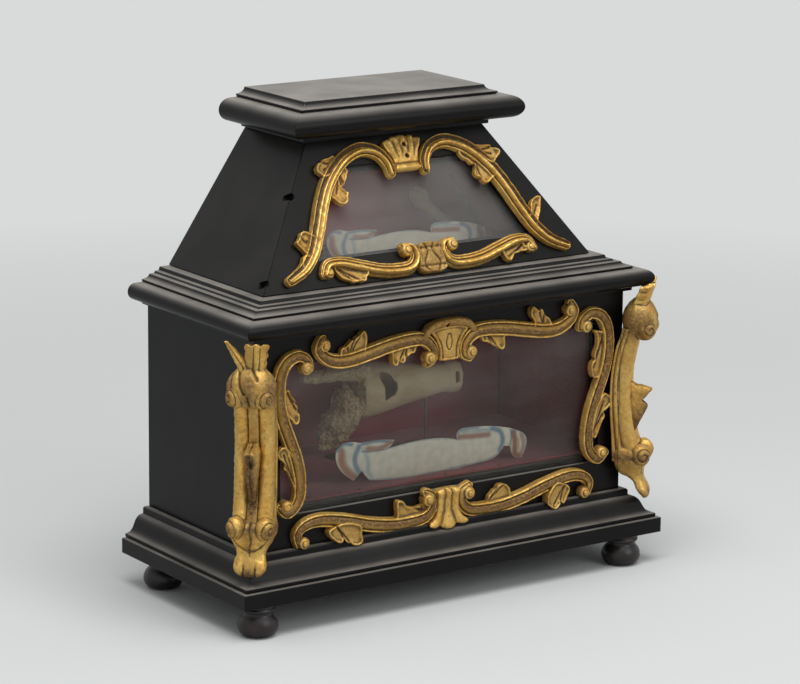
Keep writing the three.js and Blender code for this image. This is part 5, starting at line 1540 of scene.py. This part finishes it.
def washed(x, z, look=ribbon):
    colour = np.tile(np.array(hexColour(look["sheet"])), (len(x), 1))
    for line, width, shade, strength in look["washes"]:
        share = strength * np.exp(-(lineDistance(x, z, curveThrough(line, spacing=2)) / width) ** 4)
        colour += (np.array(hexColour(shade)) - colour) * share[:, None]
    return colour


# Feet are (start, end, drop): tabs below the card's lower edge, which lies at 0.6
def makeCard(node, feet, scale, at, look=ribbon, edgeZ=0.6):
    edge = [bezier(curve, 12)[:-1] for curve in look["curves"]]
    edge += [[(end, edgeZ), (end, drop), (start, drop), (start, edgeZ)] for start, end, drop in feet]
    tail = look["tail"]
    edge += [bezier(curve, 12)[:-1] for curve in [((feet[-1][0], edgeZ),) + tail[0][1:]] + tail[1:]]
    outline = np.concatenate(edge)
    count = len(outline)
    spans = (np.arange(low, high, look["gridMm"]) for low, high in ((-96, 109), (-20, 43)))
    x, z = (axis.ravel() for axis in np.meshgrid(*spans))
    inside = outlineDistance(x, z, outline) < -0.7
    points = np.concatenate([outline, np.stack([x[inside], z[inside]], axis=1)])
    result = delaunay_2d_cdt([Vector(p) for p in points], [], [list(range(count))], 1, 1e-5)
    flat, triangles = np.array([tuple(p) for p in result[0]]), [tuple(face) for face in result[2]]
    origins = sorted((origin, i) for i, old in enumerate(result[3]) for origin in old if origin < count)
    rim, total, wash = [i for origin, i in origins], len(flat), washed(flat[:, 0], flat[:, 1])
    front = np.stack([flat[:, 0] * scale, np.full(total, -look["thick"]), flat[:, 1] * scale], axis=1)
    faces = triangles + [tuple(total + v for v in face[::-1]) for face in triangles]
    faces += [(a, b, total + b, total + a) for a, b in zip(rim, rim[1:] + rim[:1])]
    points = np.concatenate([front, front + np.array([0, look["thick"], 0])]) + np.array(at)
    colours = np.concatenate([wash, np.tile(np.array(hexColour(look["sheet"])), (total, 1))])
    piece = newPiece(node + "_painted", points, faces, "paper", 40, {"wash": colours})
    settle(outward(piece), "casket", "paper_card", node)


makeCard("lower_label", [(20, 34, 0)], 1, (1, 26, 96.2))
makeCard("upper_label", [(30, 44, -15.2), (-30, -16, -15.2)], 0.86, (14, 80, 266))
print("relics and cards in place")

# Brass stand under the relic: a strip foot and two round posts, each with a collar at its foot
stand = {
    "foot": {"from": -42, "to": 74, "half": 7, "thick": 1.6}, "floor": 96.1, "depth": 110,
    "posts": [(-32, 104.1), (58, 136.2)], "radius": 1.4,
    "collar": [(1.4, 1.6), (2.6, 1.7), (2.9, 2.3), (2.5, 3), (1.6, 3.4), (1.4, 4.4)],
}


def joined(name, parts):
    work = bmesh.new()
    for part in parts:
        old = part.data
        work.from_mesh(old)
        bpy.data.objects.remove(part)
        bpy.data.meshes.remove(old)
    return meshOf(work, name)


def roundedStrip(name, start, end, half, low, high, shift, corner=3.0, ease=0.25):
    loop = []
    for cx, cy, first in ((end - corner, half - corner, 0), (start + corner, half - corner, 90),
                          (start + corner, corner - half, 180), (end - corner, corner - half, 270)):
        loop += arc((cx, cy), (corner, corner), first, first + 90, 7)
    loop = np.array(loop)
    inset = loop * (1 - ease / np.linalg.norm(loop - loop.mean(axis=0), axis=1))[:, None]
    heights = ((inset, low), (loop, low + ease), (loop, high - ease), (inset, high))
    rings = [np.column_stack([ring, np.full(len(loop), height)]) for ring, height in heights]
    strip = newPiece(name, np.concatenate(rings), capped(4, len(loop)), "brass", 35)
    strip.data.transform(Matrix.Translation((0, shift * mm, 0)))
    return strip


def makeStand(look=stand):
    foot, floor, depth, r = look["foot"], look["floor"], look["depth"], look["radius"]
    parts = [roundedStrip("standFoot", foot["from"], foot["to"], foot["half"], floor, floor + foot["thick"], depth)]
    for x, top in look["posts"]:
        profile = [(0, floor + 0.4), (r, floor + 0.4)] + [(radius, floor + up) for radius, up in look["collar"]]
        profile += [(r, top - 1.2), (1.1, top - 0.2), (0, top)]
        parts.append(turnedSolid("standPost", profile, 24, "brass", lambda p: p + np.array([x, depth, 0])))
    piece = linkMesh("relic_stand_made", joined("relic_stand_made", parts), "brass", 35)
    settle(outward(piece), "casket", "brass", "relic_stand")


makeStand()

# Strip hinges: rolled knuckles, leaves let in by a castellated edge, the pin inside the fixed leaf
hinge = {"radius": 2.15, "pin": 0.95, "leaf": 1.2, "clear": 2.35, "gap": 0.28, "knuckles": 5}
hinges = {
    "lower": {"length": 150, "fixed": 11, "moving": 15, "place": lambda along, out, across: (
        across - 171.2, backFace + out, along + 137.6)},
    "upper": {"length": 90, "fixed": 12, "moving": 16, "place": lambda along, out, across: (
        along, backFace + out, 376 - across)},
}


def onBarrel(points, look=hinge):
    return np.stack([points[:, 0], points[:, 2], points[:, 1] + look["radius"]], axis=1)


def hingeLeaf(which, leaf, spec, look=hinge):
    name, fixed = f"{which}_hinge_{leaf}_leaf", leaf == "fixed"
    half, pitch = spec["length"] / 2, spec["length"] / look["knuckles"]
    clear, gap, thick, r, pin = (look[key] for key in ("clear", "gap", "leaf", "radius", "pin"))
    parts = [roundedStrip("leafPlate", clear, spec[leaf], half, 0, thick, 0, 1.4)]
    for i in range(0 if fixed else 1, look["knuckles"], 2):
        a, b = i * pitch - half, (i + 1) * pitch - half
        parts.append(roundedStrip("leafFinger", -0.2, clear + 1.6, (b - a) / 2 - gap, 0, thick, (a + b) / 2, 0.3, 0.12))
        a, b = a + gap, b - gap
        ring = [(0.0, a), (r - 0.3, a), (r, a + 0.3), (r, b - 0.3), (r - 0.3, b), (0.0, b)]
        parts.append(turnedSolid("knuckle", ring, 24, "brass", onBarrel))
    if fixed:
        end = [(0, half + 0.3), (pin + 0.5, half + 0.3), (pin + 0.7, half - 0.4), (pin, half - 1)]
        parts.append(turnedSolid("pin", [(radius, -at) for radius, at in end] + end[::-1], 20, "brass", onBarrel))
    mesh = joined(name + "_made", parts)
    points = np.empty(3 * len(mesh.vertices))
    mesh.vertices.foreach_get("co", points)
    across, along, out = ((points.reshape(-1, 3) - toFrame((0, 0, 0))) / mm).T
    placed = spec["place"](along, out, -across if fixed else across)
    mesh.vertices.foreach_set("co", toFrame(np.stack(placed, axis=1)).ravel())
    settle(outward(linkMesh(name + "_made", mesh, "brass", 35)), "casket" if fixed else which + "_door", "brass", name)


for which, spec in hinges.items():
    for leaf in ("fixed", "moving"):
        hingeLeaf(which, leaf, spec)

# Turn buttons: a tapering arm with rounded ends, drilled for its post, and the post's domed head
button = {
    "reach": 20, "radius": 5, "tip": 0.7, "bore": 1.95, "thick": 2.4, "ease": 0.35, "post": 1.7, "over": 0.3,
    "head": [(3.3, 0), (3.6, 0.25), (3.5, 0.7), (3.1, 1.15), (2.4, 1.5), (1.2, 1.8), (0, 1.9)],
    "places": {"lower": (177.5, 137, 0), "upper": (0, 258.6, -90)},
}


def onBack(points, x, z, turn=0):
    turn = math.radians(turn)
    across, up, out = points.T
    return np.stack([x + across * math.cos(turn) - up * math.sin(turn), backFace + out,
                     z + across * math.sin(turn) + up * math.cos(turn)], axis=1)


def makeButton(which, look=button):
    x, z, turn = look["places"][which]
    big, reach, ease, thick = (look[key] for key in ("radius", "reach", "ease", "thick"))
    small = big * look["tip"]
    loop = np.array(arc((0, 0), (big, big), 180, 360, 25) + arc((0, reach), (small, small), 360, 540, 25))
    inner = look["bore"] * np.array([(math.cos(a), math.sin(a)) for a in np.arctan2(loop[:, 1], loop[:, 0])])
    away = loop - np.clip(loop[:, 1:2], 0, reach) * np.array([[0, 1]])
    inset = loop - ease * away / np.linalg.norm(away, axis=1)[:, None]
    heights = ((inset, 0), (loop, ease), (loop, thick - ease), (inset, thick), (inner, thick), (inner, 0))
    rings = [onBack(np.column_stack([ring, np.full(len(ring), h)]), x, z, turn) for ring, h in heights]
    arm = pierced(f"{which}_turn_button_made", rings, "brass")
    settle(arm, f"{which}_button", "brass", f"{which}_turn_button")
    over = thick + look["over"]
    profile = [(0, -6), (1.2, -6), (look["post"], -5.4), (look["post"], over)]
    profile += [(radius, over + up) for radius, up in look["head"]]
    post = turnedSolid(f"{which}_button_post_made", profile, 32, "brass", lambda p: onBack(p, x, z))
    settle(post, "casket", "brass", f"{which}_button_post")


makeButton("lower")
makeButton("upper")

knob = {"at": (140, 137), "profile": [(0, 0), (4.4, 0), (4.4, 0.7)]
        + bezier([(4.2, 1), (2.7, 1.2), (2.6, 2.4)], 6) + [(2.6, 4.4)] + bezier([(2.7, 4.8), (3.6, 6), (5.6, 7)], 5)
        + bezier([(5.7, 7.2), (7.4, 9.8), (5, 12.9)], 12) + [(3.4, 13.6), (1.6, 13.95), (0, 14)]}
knobPiece = turnedSolid("lower_door_knob_made", knob["profile"], 40, "brass", lambda p: onBack(p, *knob["at"]))
settle(knobPiece, "lower_door", "brass", "lower_door_knob")
print("brass fitted")


# Fasteners: a flat-based domed head, slotted for a screwdriver or plain, set on every point of a
# mesh and turned to the point's facing, each a little different in size and turn.
def fastenerTree():
    tree, add, given = newTree("fasteners", {"Radius": "Float", "Dome": "Float", "Slot": "Float", "Seed": "Int"})
    radius, dome, slot, seed = (given[key] for key in ("Radius", "Dome", "Slot", "Seed"))
    ball = add("GeometryNodeMeshUVSphere", Segments=20, Rings=10, Radius=1)
    x, y, z = add("SeparateXYZ", add("GeometryNodeInputPosition")).outputs
    height = add("Math MULTIPLY", add("Math MAXIMUM", z, -0.05), dome)
    flat = add("CombineXYZ", add("Math MULTIPLY", x, radius), add("Math MULTIPLY", y, radius), height)
    shaped = add("GeometryNodeSetPosition", ball.outputs["Mesh"], Position=flat)
    blade = add("GeometryNodeMeshCube", add("CombineXYZ", add("Math MULTIPLY", radius, 3), slot, dome))
    lift = add("CombineXYZ", Z=add("Math MULTIPLY", dome, 0.95))
    raised = add("GeometryNodeTransform", blade.outputs["Mesh"], Translation=lift)
    slotted = add("GeometryNodeMeshBoolean DIFFERENCE", shaped, raised)
    isSlotted = add("FunctionNodeCompare GREATER_THAN", data_type="FLOAT", A=slot)
    head = add("GeometryNodeSwitch", isSlotted, shaped, slotted.outputs["Mesh"], input_type="GEOMETRY")
    facing = add("GeometryNodeInputNamedAttribute", data_type="FLOAT_VECTOR", Name="facing")
    aligned = add("FunctionNodeAlignRotationToVector", axis="Z", Vector=facing.outputs["Attribute"])
    spin = add("FunctionNodeRandomValue", data_type="FLOAT", Max=6.28, Seed=seed)
    spun = add("FunctionNodeRotateRotation", aligned, add("CombineXYZ", Z=spin), rotation_space="LOCAL")
    size = add("FunctionNodeRandomValue", data_type="FLOAT", Min=0.93, Max=1.07, Seed=seed)
    points = add("GeometryNodeMeshToPoints", given["Geometry"])
    heads = add("GeometryNodeInstanceOnPoints", points, Instance=head, Rotation=spun, Scale=size)
    return closeTree(tree, add, given, heads)


screw = {"finish": "brass", "radius": 2.1, "dome": 0.55, "slot": 0.55, "facing": (0, 1, 0)}
fastenings = {
    "lowerLiningTacks": dict(screw, radius=1.5, dome=0.8, slot=0, facing=(0, -0.3, 1), places=[
        (x, 16.4, 95.95) for x in (-140, -122, -92, -73, -43, -14, 13, 41, 68, 96, 124, 150)]),
    "lowerFixedLeafScrews": dict(screw, places=[(-178.2, 169.5, z) for z in (72, 116, 159, 203)]),
    "lowerMovingLeafScrews": dict(screw, body="lower_door", places=[(-161.5, 169.5, z) for z in (74, 116, 159, 201)]),
    "upperFixedLeafScrews": dict(screw, radius=2, places=[(x, 169.5, 383.5) for x in (-36, 0, 36)]),
    "upperMovingLeafScrews": dict(screw, body="upper_door", radius=2, places=[(x, 169.5, 365.5) for x in (-36, 0, 36)]),
    "caseBackNails": dict(screw, finish="iron", radius=1.7, dome=0.5, slot=0, places=[
        (x, 168, 243.4) for x in (-160, -96, -30, 34, 98, 161)]),
}


def setFasteners(name, look, tree):
    mesh = bpy.data.meshes.new(name + "_places")
    mesh.from_pydata(toFrame(look["places"]).tolist(), [], [])
    facing = np.tile(np.array(look["facing"], float), (len(look["places"]), 1))
    mesh.attributes.new("facing", "FLOAT_VECTOR", "POINT").data.foreach_set("vector", facing.ravel())
    sizes = {key.title(): look[key] * mm for key in ("radius", "dome", "slot")}
    piece = grow(name, mesh, tree, look["finish"], {**sizes, "Seed": len(name)}, 40)
    settle(piece, look.get("body", "casket"), "brass")


headTree = fastenerTree()
for name, look in fastenings.items():
    setFasteners(name, look, headTree)
print("fasteners set")

# Lights and floor
studio = {
    "floor": "#bbbdbd", "background": "#d9dbdb", "floorRadius": 3500, "floorRings": (0.02, 0.1, 0.25, 0.5, 1),
    "worldLight": 0.63, "key": {"at": (-150, -250, 1700), "aim": (0, 60, 100), "size": (1.3, 1.0), "power": 26},
    "fill": {"at": (800, -2050, 1350), "aim": (0, 0, 200), "size": (1.4, 1.2), "power": 14},
}


def makeWorld(look=studio):
    world = bpy.context.scene.world = bpy.data.worlds.new("studio")
    world.use_nodes = True
    world.node_tree.nodes.clear()
    add = partial(addNode, world.node_tree)
    rays = add("LightPath").outputs
    seen = add("Math MAXIMUM", rays["Is Camera Ray"], rays["Is Glossy Ray"])
    seen = add("Math MAXIMUM", seen, rays["Is Transmission Ray"])
    light = add("Background", "#ffffff", look["worldLight"])
    add("OutputWorld", add("MixShader", seen, light, add("Background", look["background"], 1)))


# A round sheet of paper that glows softly into the background away from the casket
def makeFloor(look=studio, middle=90, count=48):
    radius, rings = look["floorRadius"], len(look["floorRings"])
    angles = [2 * math.pi * i / count for i in range(count)]
    points = [(0, middle, 0)] + [(radius * share * math.cos(a), middle + radius * share * math.sin(a), 0)
                                 for share in look["floorRings"] for a in angles]
    faces = [(0, 1 + i, 1 + (i + 1) % count) for i in range(count)]
    faces += [tuple(1 + v for v in quad[::-1]) for quad in loft(rings, count)]
    shader, add, place = newFinish("floor", "paleStudioPaper")
    fill(shader, {"Base Color": look["floor"], "Roughness": 0.9, "Specular IOR Level": 0.1})
    distance = add("VectorMath LENGTH", place).outputs["Value"]
    far = add("ValToRGB", add("Math DIVIDE", distance, radius * mm), stops=[(0.12, 0), (0.45, 1)])
    rays = add("LightPath").outputs
    seen = add("Math MAXIMUM", rays["Is Camera Ray"], rays["Is Glossy Ray"])
    glow = add("Emission", look["background"], 1)
    mixed = add("MixShader", add("Math MULTIPLY", far, seen), shader, glow)
    fill(shader.id_data.nodes["Material Output"], {"Surface": mixed})
    newPiece("floor", points, faces, "floor")


def softBox(name, look):
    data = bpy.data.lights.new(name, "AREA")
    data.shape, data.energy = "RECTANGLE", look["power"]
    data.size, data.size_y = look["size"]
    lamp = link(name, data)
    lamp.location = toFrame(look["at"])
    lamp.rotation_euler = (Vector(toFrame(look["aim"])) - lamp.location).to_track_quat("-Z", "Y").to_euler()


makeWorld()
makeFloor()
softBox("topBox", studio["key"])
softBox("frontBox", studio["fill"])
bpy.context.scene.view_settings.view_transform = "Standard"
print("studio lit")

slotFinish = {
    "ebonised_wood": "ebony", "turned_wood": "foot", "inner_wood": "poplar", "gilded_wood": "gilt",
    "window_glass": "glass", "brass": "brass", "lining_cloth": "cloth", "bone": "bone", "paper_card": "paper",
}
for subpart in frame["record"]["subparts"]:
    node = frame["nodes"][subpart["node"]]
    if not node.hide_render:
        node.data.materials.clear()
        node.data.materials.append(finishes[slotFinish[subpart["material_slot"]]])
